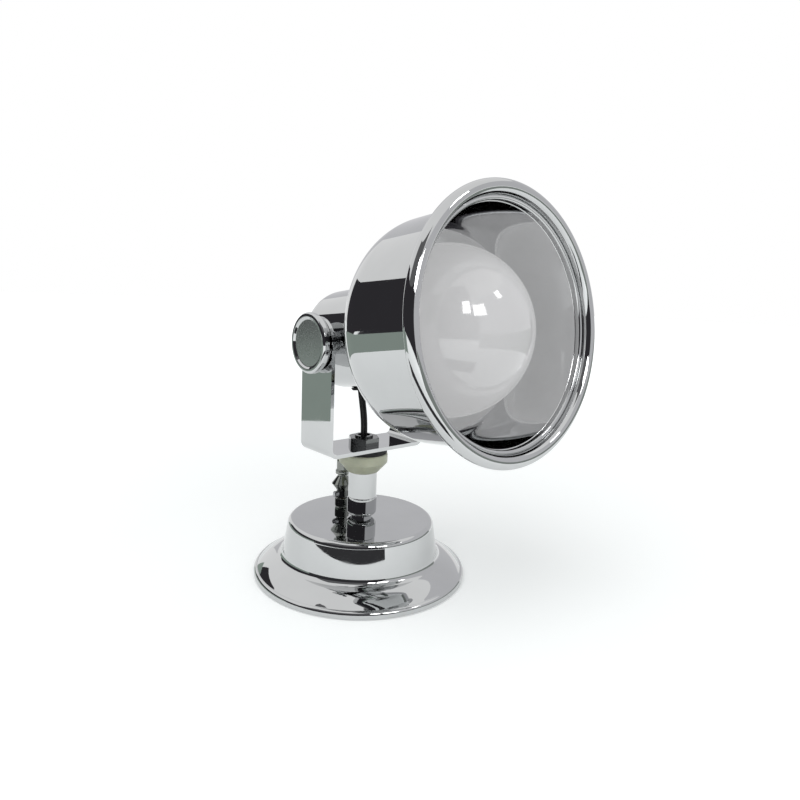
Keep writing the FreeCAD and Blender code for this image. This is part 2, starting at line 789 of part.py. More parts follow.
def yoke():
    half = arm_outside
    strap = S.yoke_strap
    inner = S.yoke_bend
    outer = inner + strap
    reach = S.yoke_depth / 2
    pivot = S.pivot_height - yoke_bottom
    top = pivot + reach
    right = [
        (half - outer, 0, -outer),
        (half, outer),
        (half, top),
        (half - strap, top),
        (half - strap, outer, inner),
        (half - outer, strap),
    ]
    left = [
        (-(half - outer), strap, inner),
        (-(half - strap), outer),
        (-(half - strap), top),
        (-half, top),
        (-half, outer, -outer),
        (-(half - outer), 0),
    ]
    body = new_body("yoke")
    outline = new_sketch(body, "XZ_Plane", "yoke_outline")
    draw(outline, right + left)
    bent = body.newObject("PartDesign::Pad", "yoke_strap_bent")
    bent.Profile = outline
    bent.Midplane = True
    bind(bent, "Length", S.yoke_depth)
    doc.recompute()
    ends = [
        (reach, pivot, -reach),
        (0, top, -reach),
        (-reach, pivot),
        (-reach, top + strap),
        (reach, top + strap),
    ]
    for name, reverse in (("yoke_round_right", True), ("yoke_round_left", False)):
        before = body.Shape.Volume
        corner = new_sketch(body, "YZ_Plane", name + "_outline")
        draw(corner, ends)
        pocket = body.newObject("PartDesign::Pocket", name)
        pocket.Profile = corner
        pocket.Reversed = reverse
        bind(pocket, "Length", half + strap)
        doc.recompute()
        if not body.Shape.Volume < before:
            raise RuntimeError(name + " cuts nothing")
    drill(body, "yoke_floor_hole", "XY_Plane", [(0, 0, stem_hole)], strap * 2, True)
    stud_hole = (0, pivot, S.stud_radius + S.running_clearance)
    drill(body, "yoke_hole_right", "YZ_Plane", [stud_hole], half + strap, True)
    drill(body, "yoke_hole_left", "YZ_Plane", [stud_hole], half + strap, False)
    return place(body, z=yoke_bottom)


def yoke_nut():
    return place(hex_nut("yoke_nut", S.yoke_nut_flats, thread_hole, S.yoke_nut_height), z=yoke_floor)


# Reflector, on its own tilted axis

ahead_y = -cosine(S.tilt)
ahead_z = sine(S.tilt)


def beside_axis(along, above):
    """A point of the middle plane: ahead of the pivot, and above the reflector's axis."""
    above = S.axis_lift + above
    y = along * ahead_y + above * ahead_z
    z = S.pivot_height + along * ahead_z - above * ahead_y
    return y, z


def on_axis(thing, along):
    """Stand a sub-part on the reflector's axis, so far ahead of the pivot."""
    y, z = beside_axis(size(along), 0)
    return place(thing, 0, y, z, V(1, 0, 0), 90 - S.tilt)


def socket_cup():
    length = S.cup_back + S.cup_front
    radius = S.cup_radius
    wall = S.cup_wall
    edge = S.cup_round
    body = turned("socket_cup", [
        (0, 0),
        (radius - edge, 0, -edge),
        (radius, edge),
        (radius, length),
        (radius - wall, length),
        (radius - wall, edge, edge - wall),
        (radius - edge, wall),
        (0, wall),
    ])
    stud_hole = (-S.axis_lift, S.cup_back, S.stud_radius + S.slip_clearance)
    drill(body, "cup_hole_right", "YZ_Plane", [stud_hole], radius + 1, True)
    drill(body, "cup_hole_left", "YZ_Plane", [stud_hole], radius + 1, False)
    entry = (0, S.cup_back - S.entry_back, S.entry_neck + S.slip_clearance)
    drill(body, "entry_hole", "XZ_Plane", [entry], radius + 1, True)
    screw = S.back_screw_radius + S.slip_clearance
    holes = [(S.back_screw_offset, 0, screw), (-S.back_screw_offset, 0, screw)]
    drill(body, "back_holes", "XY_Plane", holes, wall * 2, True)
    return on_axis(body, -S.cup_back)


def entry_grommet():
    inside = -(S.cup_wall + S.entry_seat)
    seat = S.slip_clearance / 2
    body = turned("entry_grommet", [
        (S.entry_bore, inside - S.entry_flange_height),
        (S.entry_flange, inside - S.entry_flange_height),
        (S.entry_flange, inside),
        (S.entry_neck, inside),
        (S.entry_neck, seat),
        (S.entry_flange, seat),
        (S.entry_flange - S.entry_flange_height / 2, seat + S.entry_flange_height),
        (S.entry_bore, seat + S.entry_flange_height),
    ])
    y, z = beside_axis(-S.entry_back, -S.cup_radius)
    return place(body, 0, y, z, V(1, 0, 0), 180 - S.tilt)


def lead_wires():
    """Two insulated leads, straight up through the nipple and on into the cup."""
    inner = S.cup_radius - S.cup_wall - S.entry_seat - S.entry_flange_height
    end_y, end_z = [amount.value for amount in beside_axis(-S.entry_back, S.lead_end - inner)]
    curve = S.lead_curve.value
    bend_z = (yoke_nut_top + S.nipple_stand + S.lead_bend).value
    turn = math.atan2(end_y, end_z - bend_z)
    cut = curve * math.tan(turn / 2)
    leads = []
    for side in (-1, 1):
        x = side * S.lead_spread.value
        low = V(x, 0, (yoke_bottom - S.lead_start).value)
        bend = V(x, 0, bend_z)
        high = V(x, end_y, end_z)
        way = (high - bend).normalize()
        before = bend - V(0, 0, cut)
        after = bend + way * cut
        centre = before + V(0, curve, 0)
        middle = centre + V(0, -math.cos(turn / 2), math.sin(turn / 2)) * curve
        path = Part.Wire([
            Part.LineSegment(low, before).toShape(),
            Part.Arc(before, middle, after).toShape(),
            Part.LineSegment(after, high).toShape(),
        ])
        section = Part.Wire([Part.Circle(low, V(0, 0, 1), S.lead_radius.value).toShape()])
        leads.append(path.makePipeShell([section], True, False))
        print("lead bend radius", curve, "volume", round(leads[-1].Volume, 2), "by length",
              round(path.Length * math.pi * S.lead_radius.value ** 2, 2))
    feature = doc.addObject("Part::Feature", "lead_wires")
    feature.Label = "lead_wires"
    feature.Shape = Part.makeCompound(leads)
    return feature


bowl_hole = S.holder_skirt + S.skirt_gap
ring_back = S.bead_front - S.skirt_back
bowl_front = S.bead_front - S.edge_back


def reflector_bowl():
    """A spun bowl: a short neck at the cup, a domed back, a shoulder and a straight side."""
    wall = S.bowl_wall
    back = S.cup_front
    neck = S.cup_radius + S.neck_gap
    dome = S.bowl_back_curve
    shoulder = S.bowl_side_curve
    turn_cos = cosine(S.bowl_shoulder)
    turn_sin = sine(S.bowl_shoulder)
    inside = S.bowl_radius - wall
    start = S.bowl_straight - back
    meet_radius = S.bowl_radius - shoulder + shoulder * turn_cos
    meet = start - shoulder * turn_sin
    dome_centre = meet + dome * turn_sin
    dome_axis = meet_radius - dome * turn_cos
    neck_front = dome_centre - root(dome * dome - (neck - dome_axis) * (neck - dome_axis))
    thin = dome - wall
    reach = neck - wall - dome_axis
    inner_front = dome_centre - root(thin * thin - reach * reach)
    body = turned("reflector_bowl", [
        (bowl_hole, 0),
        (neck, 0),
        (neck, neck_front, -dome),
        (meet_radius, meet, -shoulder),
        (S.bowl_radius, start),
        (S.bowl_radius, bowl_front - back),
        (inside, bowl_front - back),
        (inside, start, shoulder - wall),
        (meet_radius - wall * turn_cos, meet + wall * turn_sin, thin),
        (neck - wall, inner_front),
        (neck - wall, wall),
        (bowl_hole, wall),
    ])
    return on_axis(body, back)


def rim_ring():
    """A chromed trim ring over the bowl's edge: flared skirt, rolled bead, inner lip."""
    seat = S.bowl_radius + S.ring_clearance
    front = S.skirt_back
    lip = front - S.lip_back
    lip_radius = S.bowl_radius - S.lip_in
    edge = bowl_front + S.ring_clearance - ring_back
    bead = S.bead_radius
    middle = S.bowl_radius + S.bead_out
    root_corner = (middle + bead * cosine(S.bead_root), front - bead * sine(S.bead_root), -bead)
    groove = (middle - bead * cosine(S.groove_angle), front - bead * sine(S.groove_angle), -S.lip_bead)
    body = turned("rim_ring", [
        (seat, 0),
        (seat + S.ring_skirt_edge, 0, S.ring_flare),
        root_corner,
        (middle + bead, front, -bead),
        (middle, front + bead, -bead),
        (middle - bead, front, -bead),
        groove,
        (lip_radius + S.lip_bead, lip + S.lip_bead, -S.lip_bead),
        (lip_radius, lip),
        (lip_radius, edge),
        (seat, edge),
    ])
    return on_axis(body, ring_back)


# Lamp holder and bulb

holder_back = S.cup_back - S.cup_wall
holder_front = S.cup_front + S.bowl_wall + S.clamp_height
mouth_radius = S.holder_skirt - S.skirt_wall
shell_radius = S.cap_radius + S.shell_gap + S.shell_wall
holder_bore = shell_radius + S.slip_clearance


def lamp_holder():
    back = holder_back
    body = turned("lamp_holder", [
        (0, 0),
        (S.holder_foot, 0),
        (S.holder_foot, S.holder_foot_height),
        (S.holder_radius, S.holder_foot_height),
        (S.holder_radius, back + S.holder_step),
        (S.holder_skirt, back + S.holder_skirt_start),
        (S.holder_skirt, back + holder_front),
        (mouth_radius, back + holder_front),
        (mouth_radius, back + S.holder_skirt_start),
        (holder_bore, back + S.holder_step),
        (holder_bore, back - S.holder_floor),
        (0, back - S.holder_floor),
    ])
    screw = S.back_screw_radius + S.thread_clearance
    holes = [(S.back_screw_offset, 0, screw), (-S.back_screw_offset, 0, screw)]
    drill(body, "holder_holes", "XY_Plane", holes, S.back_screw_bite, True)
    return on_axis(body, -back)


def clamp_ring():
    bore = S.holder_skirt + S.clamp_clearance
    return on_axis(ring("clamp_ring", bore, S.clamp_radius, S.clamp_height), S.cup_front + S.bowl_wall)


def holder_screws():
    head = S.back_screw_head_height
    total = head + S.cup_wall + S.back_screw_bite
    screws = []
    for number, side in enumerate((-1, 1)):
        screw = turned("holder_screw_%d" % number, [
            (0, 0),
            (S.back_screw_head - head / 2, 0),
            (S.back_screw_head, head / 2),
            (S.back_screw_head, head),
            (S.back_screw_radius, head),
            (S.back_screw_radius, total),
            (0, total),
        ])
        on_axis(screw, -(S.cup_back + head))
        bind(screw, "Placement.Base.x", side * S.back_screw_offset)
        screws.append(screw)
    return copies("holder_screws", screws)


cap_back = S.cap_front - S.cap_length - S.cap_taper


def screw_shell():
    body = ring("screw_shell", shell_radius - S.shell_wall, shell_radius, S.holder_floor + S.cap_front)
    return on_axis(body, -S.holder_floor)


def holder_contact():
    height = S.holder_floor + cap_back - S.contact_height
    body = turned("holder_contact", [(0, 0), (S.contact_radius, 0), (S.contact_radius, height), (0, height)])
    return on_axis(body, -S.holder_floor)


def bulb_contact():
    height = S.contact_height
    body = turned("bulb_contact", [(0, 0), (S.contact_radius, 0), (S.contact_radius, height), (0, height)])
    return on_axis(body, cap_back - height)


def bulb_cap():
    wall = S.cap_wall
    total = S.cap_length + S.cap_taper
    body = turned("bulb_cap", [
        (S.cap_end_radius, 0),
        (S.cap_radius, S.cap_taper),
        (S.cap_radius, total),
        (S.cap_radius - wall, total),
        (S.cap_radius - wall, S.cap_taper + wall / 2),
        (S.cap_end_radius - wall, wall / 2),
        (S.cap_end_radius - wall, 0),
    ])
    return on_axis(body, cap_back)


def cap_insulator():
    radius = S.cap_end_radius - S.cap_wall - S.thread_clearance
    height = S.cap_wall * 3
    body = turned("cap_insulator", [(0, 0), (radius, 0), (radius, height), (0, height)])
    return on_axis(body, cap_back)


def bulb_glass():
    wall = S.globe_wall
    start = S.cap_front
    radius = S.globe_radius
    gap = mouth_radius - S.mouth_air
    centre = holder_front + root(radius * radius - gap * gap) - start
    reach = root(radius * radius - S.globe_joint * S.globe_joint)
    joint = centre - reach
    hollow = radius - wall
    neck_top = S.neck_glass_front - start
    body = turned("bulb_glass", [
        (S.cap_radius, 0),
        (S.neck_glass_radius, neck_top, S.neck_glass_curve),
        (S.globe_joint, joint, -radius),
        (radius, centre, -radius),
        (0, centre + radius),
        (0, centre + hollow, hollow),
        (hollow, centre, hollow),
        (root(hollow * hollow - reach * reach), joint, -(S.neck_glass_curve + wall)),
        (S.neck_glass_radius - wall, neck_top),
        (S.cap_radius - wall, 0),
    ])
    return on_axis(body, start)


# Pivot hardware, the same on both sides

SIDES = (("left", -1), ("right", 1))
stud_hole = S.stud_radius + S.slip_clearance


def beside(thing, side, distance):
    """Put a piece on the pivot axis, pointing outwards on its side of the lamp."""
    return place(thing, side * distance, 0, S.pivot_height, V(0, 1, 0), 90 * side)


def pivot_stud(name, side):
    """The stud's head bears on the inside of the cup's round wall."""
    head = S.stud_head_height
    inside = S.cup_radius - S.cup_wall
    reach = S.axis_lift + S.stud_head_radius
    start = root(inside * inside - reach * reach) - S.slip_clearance - head
    total = knob_start + S.stud_bite - start
    body = turned("pivot_stud_" + name, [
        (0, 0),
        (S.stud_head_radius, 0),
        (S.stud_head_radius, head),
        (S.stud_radius, head),
        (S.stud_radius, total),
        (0, total),
    ])
    return beside(body, side, start)


def pivot_boss(name, side):
    body = ring("pivot_boss_" + name, stud_hole, S.boss_radius, S.boss_height)
    return beside(body, side, boss_start)


def inner_washer(name, side):
    body = ring("inner_washer_" + name, stud_hole, S.inner_washer_radius, S.washer_height)
    return beside(body, side, washer_start)


def outer_washer(name, side):
    body = ring("outer_washer_" + name, stud_hole, S.outer_washer_radius, S.washer_height)
    return beside(body, side, arm_outside)


def thumb_knob(name, side):
    bore = S.stud_radius + S.thread_clearance
    depth = S.stud_bite + S.slip_clearance
    face = S.knob_height
    lip = S.knob_lip
    dish = S.knob_radius - lip - S.dish_land
    body = turned("thumb_knob_" + name, [
        (bore, 0),
        (S.knob_radius - S.knob_taper, 0),
        (S.knob_radius, S.knob_flare),
        (S.knob_radius, face - lip, -lip),
        (S.knob_radius - lip, face),
        (dish, face),
        (dish - S.dish_slope, face - S.dish_depth),
        (0, face - S.dish_depth),
        (0, depth),
        (bore, depth),
    ])
    return beside(body, side, knob_start)


for make in (
    base_cover, foot_pad, base_plate, base_weight, base_screws, weight_washer, weight_nut,
    spacer_tube, inlet_grommet, switch_body, switch_nut, switch_shaft, switch_knob, knob_screw,
    swivel_stem, swivel_barrel, swivel_spring, post_tube, yoke_nipple, insulating_washer,
    yoke_gasket, yoke, yoke_nut, socket_cup, entry_grommet, lead_wires, reflector_bowl, rim_ring,
    lamp_holder, clamp_ring, holder_screws, screw_shell, holder_contact, bulb_contact, bulb_cap,
    cap_insulator, bulb_glass,
):
    keep(make())

for side_name, side_sign in SIDES:
    for make in (pivot_stud, pivot_boss, inner_washer, outer_washer, thumb_knob):
        keep(make(side_name, side_sign))

doc.recompute()

for thing in doc.Objects:
    if "Invalid" in thing.State or "Error" in thing.State:
        raise RuntimeError(thing.Label + " failed")
for piece in pieces:
    if piece.Shape.isNull() or not piece.Shape.isValid():
        raise RuntimeError(piece.Label + " has no valid shape")

os.makedirs("parts", exist_ok=True)
for piece in pieces:
    piece.Shape.exportStep(os.path.join("parts", piece.Label + ".step"))
print(len(pieces), "sub-parts")
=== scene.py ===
import math

import bmesh
import bpy
from bpy.props import FloatProperty, FloatVectorProperty, PointerProperty
from mathutils import Matrix, Vector


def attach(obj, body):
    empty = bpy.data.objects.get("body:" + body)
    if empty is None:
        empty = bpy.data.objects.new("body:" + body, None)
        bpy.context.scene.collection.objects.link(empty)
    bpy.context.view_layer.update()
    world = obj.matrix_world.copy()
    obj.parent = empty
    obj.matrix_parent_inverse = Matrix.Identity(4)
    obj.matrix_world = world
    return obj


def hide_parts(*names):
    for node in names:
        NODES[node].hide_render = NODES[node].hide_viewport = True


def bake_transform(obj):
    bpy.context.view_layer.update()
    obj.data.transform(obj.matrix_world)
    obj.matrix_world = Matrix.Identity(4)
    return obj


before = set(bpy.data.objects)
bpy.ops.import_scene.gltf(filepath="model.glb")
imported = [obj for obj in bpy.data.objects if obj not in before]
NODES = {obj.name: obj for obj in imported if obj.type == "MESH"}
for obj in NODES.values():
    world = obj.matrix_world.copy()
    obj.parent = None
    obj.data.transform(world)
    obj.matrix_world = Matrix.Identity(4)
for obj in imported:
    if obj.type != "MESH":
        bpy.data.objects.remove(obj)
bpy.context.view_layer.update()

bl_info = {
    "name": "Searchlight table lamp",
    "version": (1, 0, 0),
    "blender": (4, 5, 0),
    "location": "View3D > Sidebar > Lamp",
    "description": "Dresses the packed searchlight lamp with finished pieces and materials",
    "category": "Object",
}

MM = 0.001

# Places that the pieces share, in millimetres
PIVOT_HEIGHT = 129.0
AXIS_LIFT = 2.0
TILT = math.radians(7.6)
YOKE_BOTTOM = 71.0
YOKE_HALF = 32.0
YOKE_REACH = 13.3
SWITCH_BACK = 18.5

# The leads' lower end, the height of their bend, their upper end behind the post, the bend's
# radius, a lead's own radius, and half the distance between the two
LEAD_LOW = 62.0
LEAD_BEND = 86.0
LEAD_TOP = (5.24, 107.77)
LEAD_CURVE = 60.0
LEAD_RADIUS = 0.95
LEAD_APART = 1.1


# Settings

def colour(name, words, value):
    return FloatVectorProperty(name=name, description=words, default=value, size=3,
                               min=0.0, max=1.0, subtype="COLOR")


class LampFinishes(bpy.types.PropertyGroup):
    chrome: colour("Chrome", "Tint of the bright plating", (0.555, 0.562, 0.566))
    # Much lighter than the outside chrome: a lit copy of the same plating that paints the reflections
    # inside the bowl brighter.
    lining_painted_bright: colour("Bowl's inside", "Tint of the plating inside the bowl", (0.82, 0.825, 0.83))
    smoked: colour("Smoked nickel", "Tint of the yoke's nut", (0.16, 0.165, 0.165))
    # The switch's plating is tinted dark as painted shade: it stands under the yoke's floor, in its
    # shadow.
    nickel: colour("Dark nickel", "Tint of the switch's plating", (0.24, 0.25, 0.235))
    ivory: colour("Ivory", "Insulating washer", (0.53, 0.55, 0.42))
    opal: colour("Opal glass", "Bulb", (0.25, 0.25, 0.257))
    rubber: colour("Rubber", "Gasket and grommets", (0.018, 0.018, 0.018))
    # The bulb is not switched on: this glow is painted light that makes the glass evenly bright on its
    # shaded side too, and the opal tint above is dark because the glow adds to it.
    opal_painted_glow: FloatProperty(name="Opal light", default=0.31, min=0.0, max=5.0,
                              description="How much the bulb's glass shines by itself")
    porcelain: colour("Porcelain", "Lamp holder", (0.72, 0.71, 0.66))
    brass: colour("Brass", "Screw shell and contacts", (0.70, 0.50, 0.20))
    zinc: colour("Zinc plate", "Hidden steel hardware", (0.50, 0.51, 0.52))
    smear: FloatProperty(name="Smears", description="Roughness that fingerprints add to the chrome",
                         default=0.035, min=0.0, max=0.5, subtype="FACTOR")


class LampEdges(bpy.types.PropertyGroup):
    sheet_edge: FloatProperty(name="Sheet edges", description="Rounding of cut sheet metal",
                              default=0.00025, min=0.0, max=0.001, unit="LENGTH")
    turned_edge: FloatProperty(name="Turned edges", description="Rounding of turned parts",
                               default=0.0002, min=0.0, max=0.001, unit="LENGTH")
    moulded_edge: FloatProperty(name="Moulded edges", description="Rounding of moulded parts",
                                default=0.0004, min=0.0, max=0.001, unit="LENGTH")


class LampStudio(bpy.types.PropertyGroup):
    key_power: FloatProperty(name="Key light", description="Power of the large soft light",
                             default=5.0, min=0.0, unit="POWER")
    fill_power: FloatProperty(name="Fill light", description="Power of the weak second light",
                              default=2.0, min=0.0, unit="POWER")
    world_level: FloatProperty(name="Room light", description="Level of the light from all round",
                               default=0.62, min=0.0, max=2.0)


# Meshes

def arc_to(bm, last, end, centre):
    """Turn the last point of an outline about a centre, the short way, to its end."""
    start = math.atan2(last.co.z - centre[1] * MM, last.co.x - centre[0] * MM)
    stop = math.atan2(end[1] - centre[1], end[0] - centre[0])
    turn = (stop - start + math.pi) % (2 * math.pi) - math.pi
    radius = math.hypot(end[0] - centre[0], end[1] - centre[1])
    steps = max(4, int(abs(turn) * math.sqrt(radius) * 5))
    made = bmesh.ops.spin(bm, geom=[last], cent=(centre[0] * MM, 0, centre[1] * MM),
                          axis=(0, -1, 0), angle=turn, steps=steps)
    return [v for v in made["geom_last"] if isinstance(v, bmesh.types.BMVert)][0]


def draw_outline(bm, outline, closed):
    """Draw (radius, height) points in millimetres; four numbers add an arc's centre."""
    first = bm.verts.new((outline[0][0] * MM, 0, outline[0][1] * MM))
    last = first
    for point in outline[1:]:
        if len(point) == 4:
            last = arc_to(bm, last, point[:2], point[2:])
        else:
            corner = bm.verts.new((point[0] * MM, 0, point[1] * MM))
            bm.edges.new((last, corner))
            last = corner
    if closed:
        bm.edges.new((last, first))


def soften_corners(bm, width):
    """Round the outline's sharp corners."""
    corners = []
    for vert in bm.verts:
        if len(vert.link_edges) != 2 or vert.co.x < 1e-6:
            continue
        ways = [(edge.other_vert(vert).co - vert.co).normalized() for edge in vert.link_edges]
        if ways[0].angle(-ways[1]) > math.radians(24):
            corners.append(vert)
    if corners and width > 0:
        bmesh.ops.bevel(bm, geom=corners, offset=width, offset_type="OFFSET", segments=3,
                        profile=0.5, affect="VERTICES", clamp_overlap=True, material=-1)


def spun(outline, edge=0.0, steps=160, place=None):
    """A mesh spun from an outline; it is open only where the outline meets the axis."""
    bm = bmesh.new()
    closed = outline[0][0] > 0 or outline[-1][0] > 0
    draw_outline(bm, outline, closed)
    soften_corners(bm, edge)
    bmesh.ops.spin(bm, geom=bm.verts[:] + bm.edges[:], cent=(0, 0, 0), axis=(0, 0, 1),
                   angle=2 * math.pi, steps=steps, use_merge=True)
    bmesh.ops.remove_doubles(bm, verts=bm.verts, dist=1e-7)
    bmesh.ops.recalc_face_normals(bm, faces=bm.faces)
    if place is not None:
        bmesh.ops.transform(bm, matrix=place, verts=bm.verts)
    return bm


def at(x, y, z, turn=None):
    """A place in millimetres, with a turn."""
    move = Matrix.Translation(Vector((x, y, z)) * MM)
    return move if turn is None else move @ turn


def on_axis(along):
    """A place on the reflector's own axis, that far ahead of the pivot."""
    y = -along * math.cos(TILT) + AXIS_LIFT * math.sin(TILT)
    z = PIVOT_HEIGHT + along * math.sin(TILT) + AXIS_LIFT * math.cos(TILT)
    return at(0, y, z, Matrix.Rotation(math.pi / 2 - TILT, 4, "X"))


def beside(side, distance):
    """A place on the pivot's axis, facing outwards."""
    return at(side * distance, 0, PIVOT_HEIGHT, Matrix.Rotation(side * math.pi / 2, 4, "Y"))


def join(bm, other):
    """Put another mesh into this one."""
    mesh = bpy.data.meshes.new("part")
    other.to_mesh(mesh)
    bm.from_mesh(mesh)
    bpy.data.meshes.remove(mesh)
    other.free()


def cylinder(radius, low, high, place=None, segments=96):
    bm = bmesh.new()
    bmesh.ops.create_cone(bm, cap_ends=True, segments=segments, radius1=radius * MM,
                          radius2=radius * MM, depth=(high - low) * MM,
                          matrix=Matrix.Translation((0, 0, (high + low) / 2 * MM)))
    if place is not None:
        bmesh.ops.transform(bm, matrix=place, verts=bm.verts)
    return bm


def block(size, place):
    bm = bmesh.new()
    bmesh.ops.create_cube(bm, size=MM)
    bmesh.ops.scale(bm, vec=size, verts=bm.verts)
    bmesh.ops.transform(bm, matrix=place, verts=bm.verts)
    return bm


def new_object(bm, name):
    mesh = bpy.data.meshes.new(name)
    bm.to_mesh(mesh)
    bm.free()
    piece = bpy.data.objects.new(name, mesh)
    bpy.context.scene.collection.objects.link(piece)
    return piece


def cut(piece, tools):
    """Take the tools' space out of a piece."""
    for bm in tools:
        tool = new_object(bm, "tool")
        mod = piece.modifiers.new("Cut", "BOOLEAN")
        mod.operation = "DIFFERENCE"
        mod.solver = "EXACT"
        mod.object = tool
        bpy.context.view_layer.objects.active = piece
        bpy.ops.object.modifier_apply(modifier=mod.name)
        bpy.data.objects.remove(tool)


def finished(bm, name, material, body, nodes, tools=(), bevel=0.0):
    """Make the object, cut it, round its edges, put it on its body and hide the CAD parts that it takes
    the place of.
    """
    piece = new_object(bm, name)
    cut(piece, tools)
    piece.data.polygons.foreach_set("use_smooth", [True] * len(piece.data.polygons))
    piece.data.materials.clear()
    piece.data.materials.append(material)
    if bevel > 0:
        mod = piece.modifiers.new("Edges", "BEVEL")
        mod.width = bevel
        mod.segments = 3
        mod.limit_method = "ANGLE"
        mod.angle_limit = math.radians(30)
        mod.use_clamp_overlap = True
    mod = piece.modifiers.new("Even shading", "WEIGHTED_NORMAL")
    mod.keep_sharp = True
    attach(piece, body)
    if nodes:
        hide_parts(*nodes)
    return piece


def second_finish(piece, material, wanted):
    """Give another material to the faces that a test picks by their centre and normal."""
    piece.data.materials.append(material)
    for face in piece.data.polygons:
        if wanted(face.center, face.normal):
            face.material_index = 1


def merged_copy(node):
    """A CAD node's shape with its loose triangles joined."""
    bm = bmesh.new()
    bm.from_mesh(NODES[node].data)
    bmesh.ops.remove_doubles(bm, verts=bm.verts, dist=1e-7)
    bmesh.ops.dissolve_limit(bm, angle_limit=math.radians(0.2), verts=bm.verts, edges=bm.edges)
    return bm


# Materials

class Shader:
    """Builds one material node by node."""

    def __init__(self, name):
        self.material = bpy.data.materials.new(name)
        self.material.use_nodes = True
        self.tree = self.material.node_tree
        self.main = self.tree.nodes["Principled BSDF"]
        self.where = self.add("ShaderNodeTexCoord").outputs["Object"]

    def add(self, kind, links=(), **settings):
        node = self.tree.nodes.new(kind)
        for name, value in settings.items():
            if name in node.inputs:
                node.inputs[name].default_value = value
            else:
                setattr(node, name, value)
        for name, source in links:
            self.tree.links.new(source, node.inputs[name])
        return node

    def set(self, **settings):
        for name, value in settings.items():
            self.main.inputs[name.replace("_", " ")].default_value = value

    def link(self, name, source):
        self.tree.links.new(source, self.main.inputs[name])

    def noise(self, scale, detail=3.0, rough=0.55, stretch=None):
        where = self.where
        if stretch:
            where = self.add("ShaderNodeMapping", [("Vector", where)], Scale=stretch).outputs[0]
        node = self.add("ShaderNodeTexNoise", [("Vector", where)])
        node.inputs["Scale"].default_value = scale
        node.inputs["Detail"].default_value = detail
        node.inputs["Roughness"].default_value = rough
        return node.outputs["Fac"]

    def spread(self, source, low, high, start=0.3, stop=0.7):
        """Map a pattern to a range of values."""
        node = self.add("ShaderNodeMapRange", [("Value", source)])
        for name, value in (("From Min", start), ("From Max", stop), ("To Min", low), ("To Max", high)):
            node.inputs[name].default_value = value
        return node.outputs["Result"]

    def blend(self, amount, first, second):
        """Mix two colours by a pattern."""
        node = self.add("ShaderNodeMix", data_type="RGBA")
        self.tree.links.new(amount, node.inputs["Factor"])
        for socket, value in ((node.inputs[6], first), (node.inputs[7], second)):
            if isinstance(value, bpy.types.NodeSocket):
                self.tree.links.new(value, socket)
            else:
                socket.default_value = (*value, 1)
        return node.outputs[2]

    def bump(self, source, strength, depth, under=None):
        links = [("Height", source)]
        if under is not None:
            links.append(("Normal", under))
        node = self.add("ShaderNodeBump", links)
        node.inputs["Strength"].default_value = strength
        node.inputs["Distance"].default_value = depth
        return node.outputs["Normal"]


def shade(tint, amount):
    """A lighter or darker version of a colour."""
    return tuple(min(1.0, c * amount) for c in tint)


def plated(name, tint, smear, rough=0.02, rings=None):
    """Polished plating with smears, a faint haze and the marks of turning."""
    s = Shader(name)
    s.set(Metallic=1.0, IOR=1.5)
    cloud = s.noise(38, 5, 0.6)
    s.link("Base Color", s.blend(s.spread(cloud, 0, 1), shade(tint, 0.965), shade(tint, 1.02)))
    prints = s.noise(160, 6, 0.7)
    both = s.add("ShaderNodeMath", [(0, cloud), (1, prints)], operation="MULTIPLY").outputs[0]
    s.link("Roughness", s.spread(both, rough, rough + smear, 0.18, 0.42))
    normal = s.bump(s.noise(90, 2, 0.4), 0.06, 0.00004)
    if rings is not None:
        place, axis_turn = rings
        where = s.add("ShaderNodeMapping", [("Vector", s.where)], vector_type="TEXTURE",
                      Location=place, Rotation=axis_turn).outputs[0]
        wave = s.add("ShaderNodeTexWave", [("Vector", where)], wave_type="RINGS", rings_direction="Z")
        for socket, value in (("Scale", 900.0), ("Distortion", 1.2), ("Detail", 2.0),
                              ("Detail Scale", 0.4)):
            wave.inputs[socket].default_value = value
        normal = s.bump(wave.outputs["Fac"], 0.05, 0.000004, normal)
    s.link("Normal", normal)
    return s.material


def soft_black(name, tint, grain=700, rough=(0.55, 0.8)):
    """Rubber or sleeving: dull, with a fine grain and pale dust."""
    s = Shader(name)
    s.set(Specular_IOR_Level=0.35)
    dust = s.spread(s.noise(60, 5, 0.7), 0, 0.35, 0.5, 0.8)
    s.link("Base Color", s.blend(dust, tint, shade(tint, 3.0)))
    s.link("Roughness", s.spread(s.noise(220, 3), rough[0], rough[1]))
    s.link("Normal", s.bump(s.noise(grain, 2, 0.5), 0.35, 0.00008))
    return s.material


def moulded(name, tint, rough=(0.32, 0.5), grain=500, glow=0.0):
    """Moulded or pressed fibre with mottling and a slight skin."""
    s = Shader(name)
    mottle = s.spread(s.noise(110, 6, 0.65), 0, 1, 0.35, 0.68)
    s.link("Base Color", s.blend(mottle, shade(tint, 0.88), shade(tint, 1.06)))
    s.link("Roughness", s.spread(s.noise(180, 4), rough[0], rough[1]))
    s.link("Normal", s.bump(s.noise(grain, 3, 0.5), 0.18, 0.00005))
    if glow:
        s.set(Subsurface_Weight=glow, Subsurface_Radius=(0.6, 0.5, 0.3), Subsurface_Scale=0.001)
    return s.material


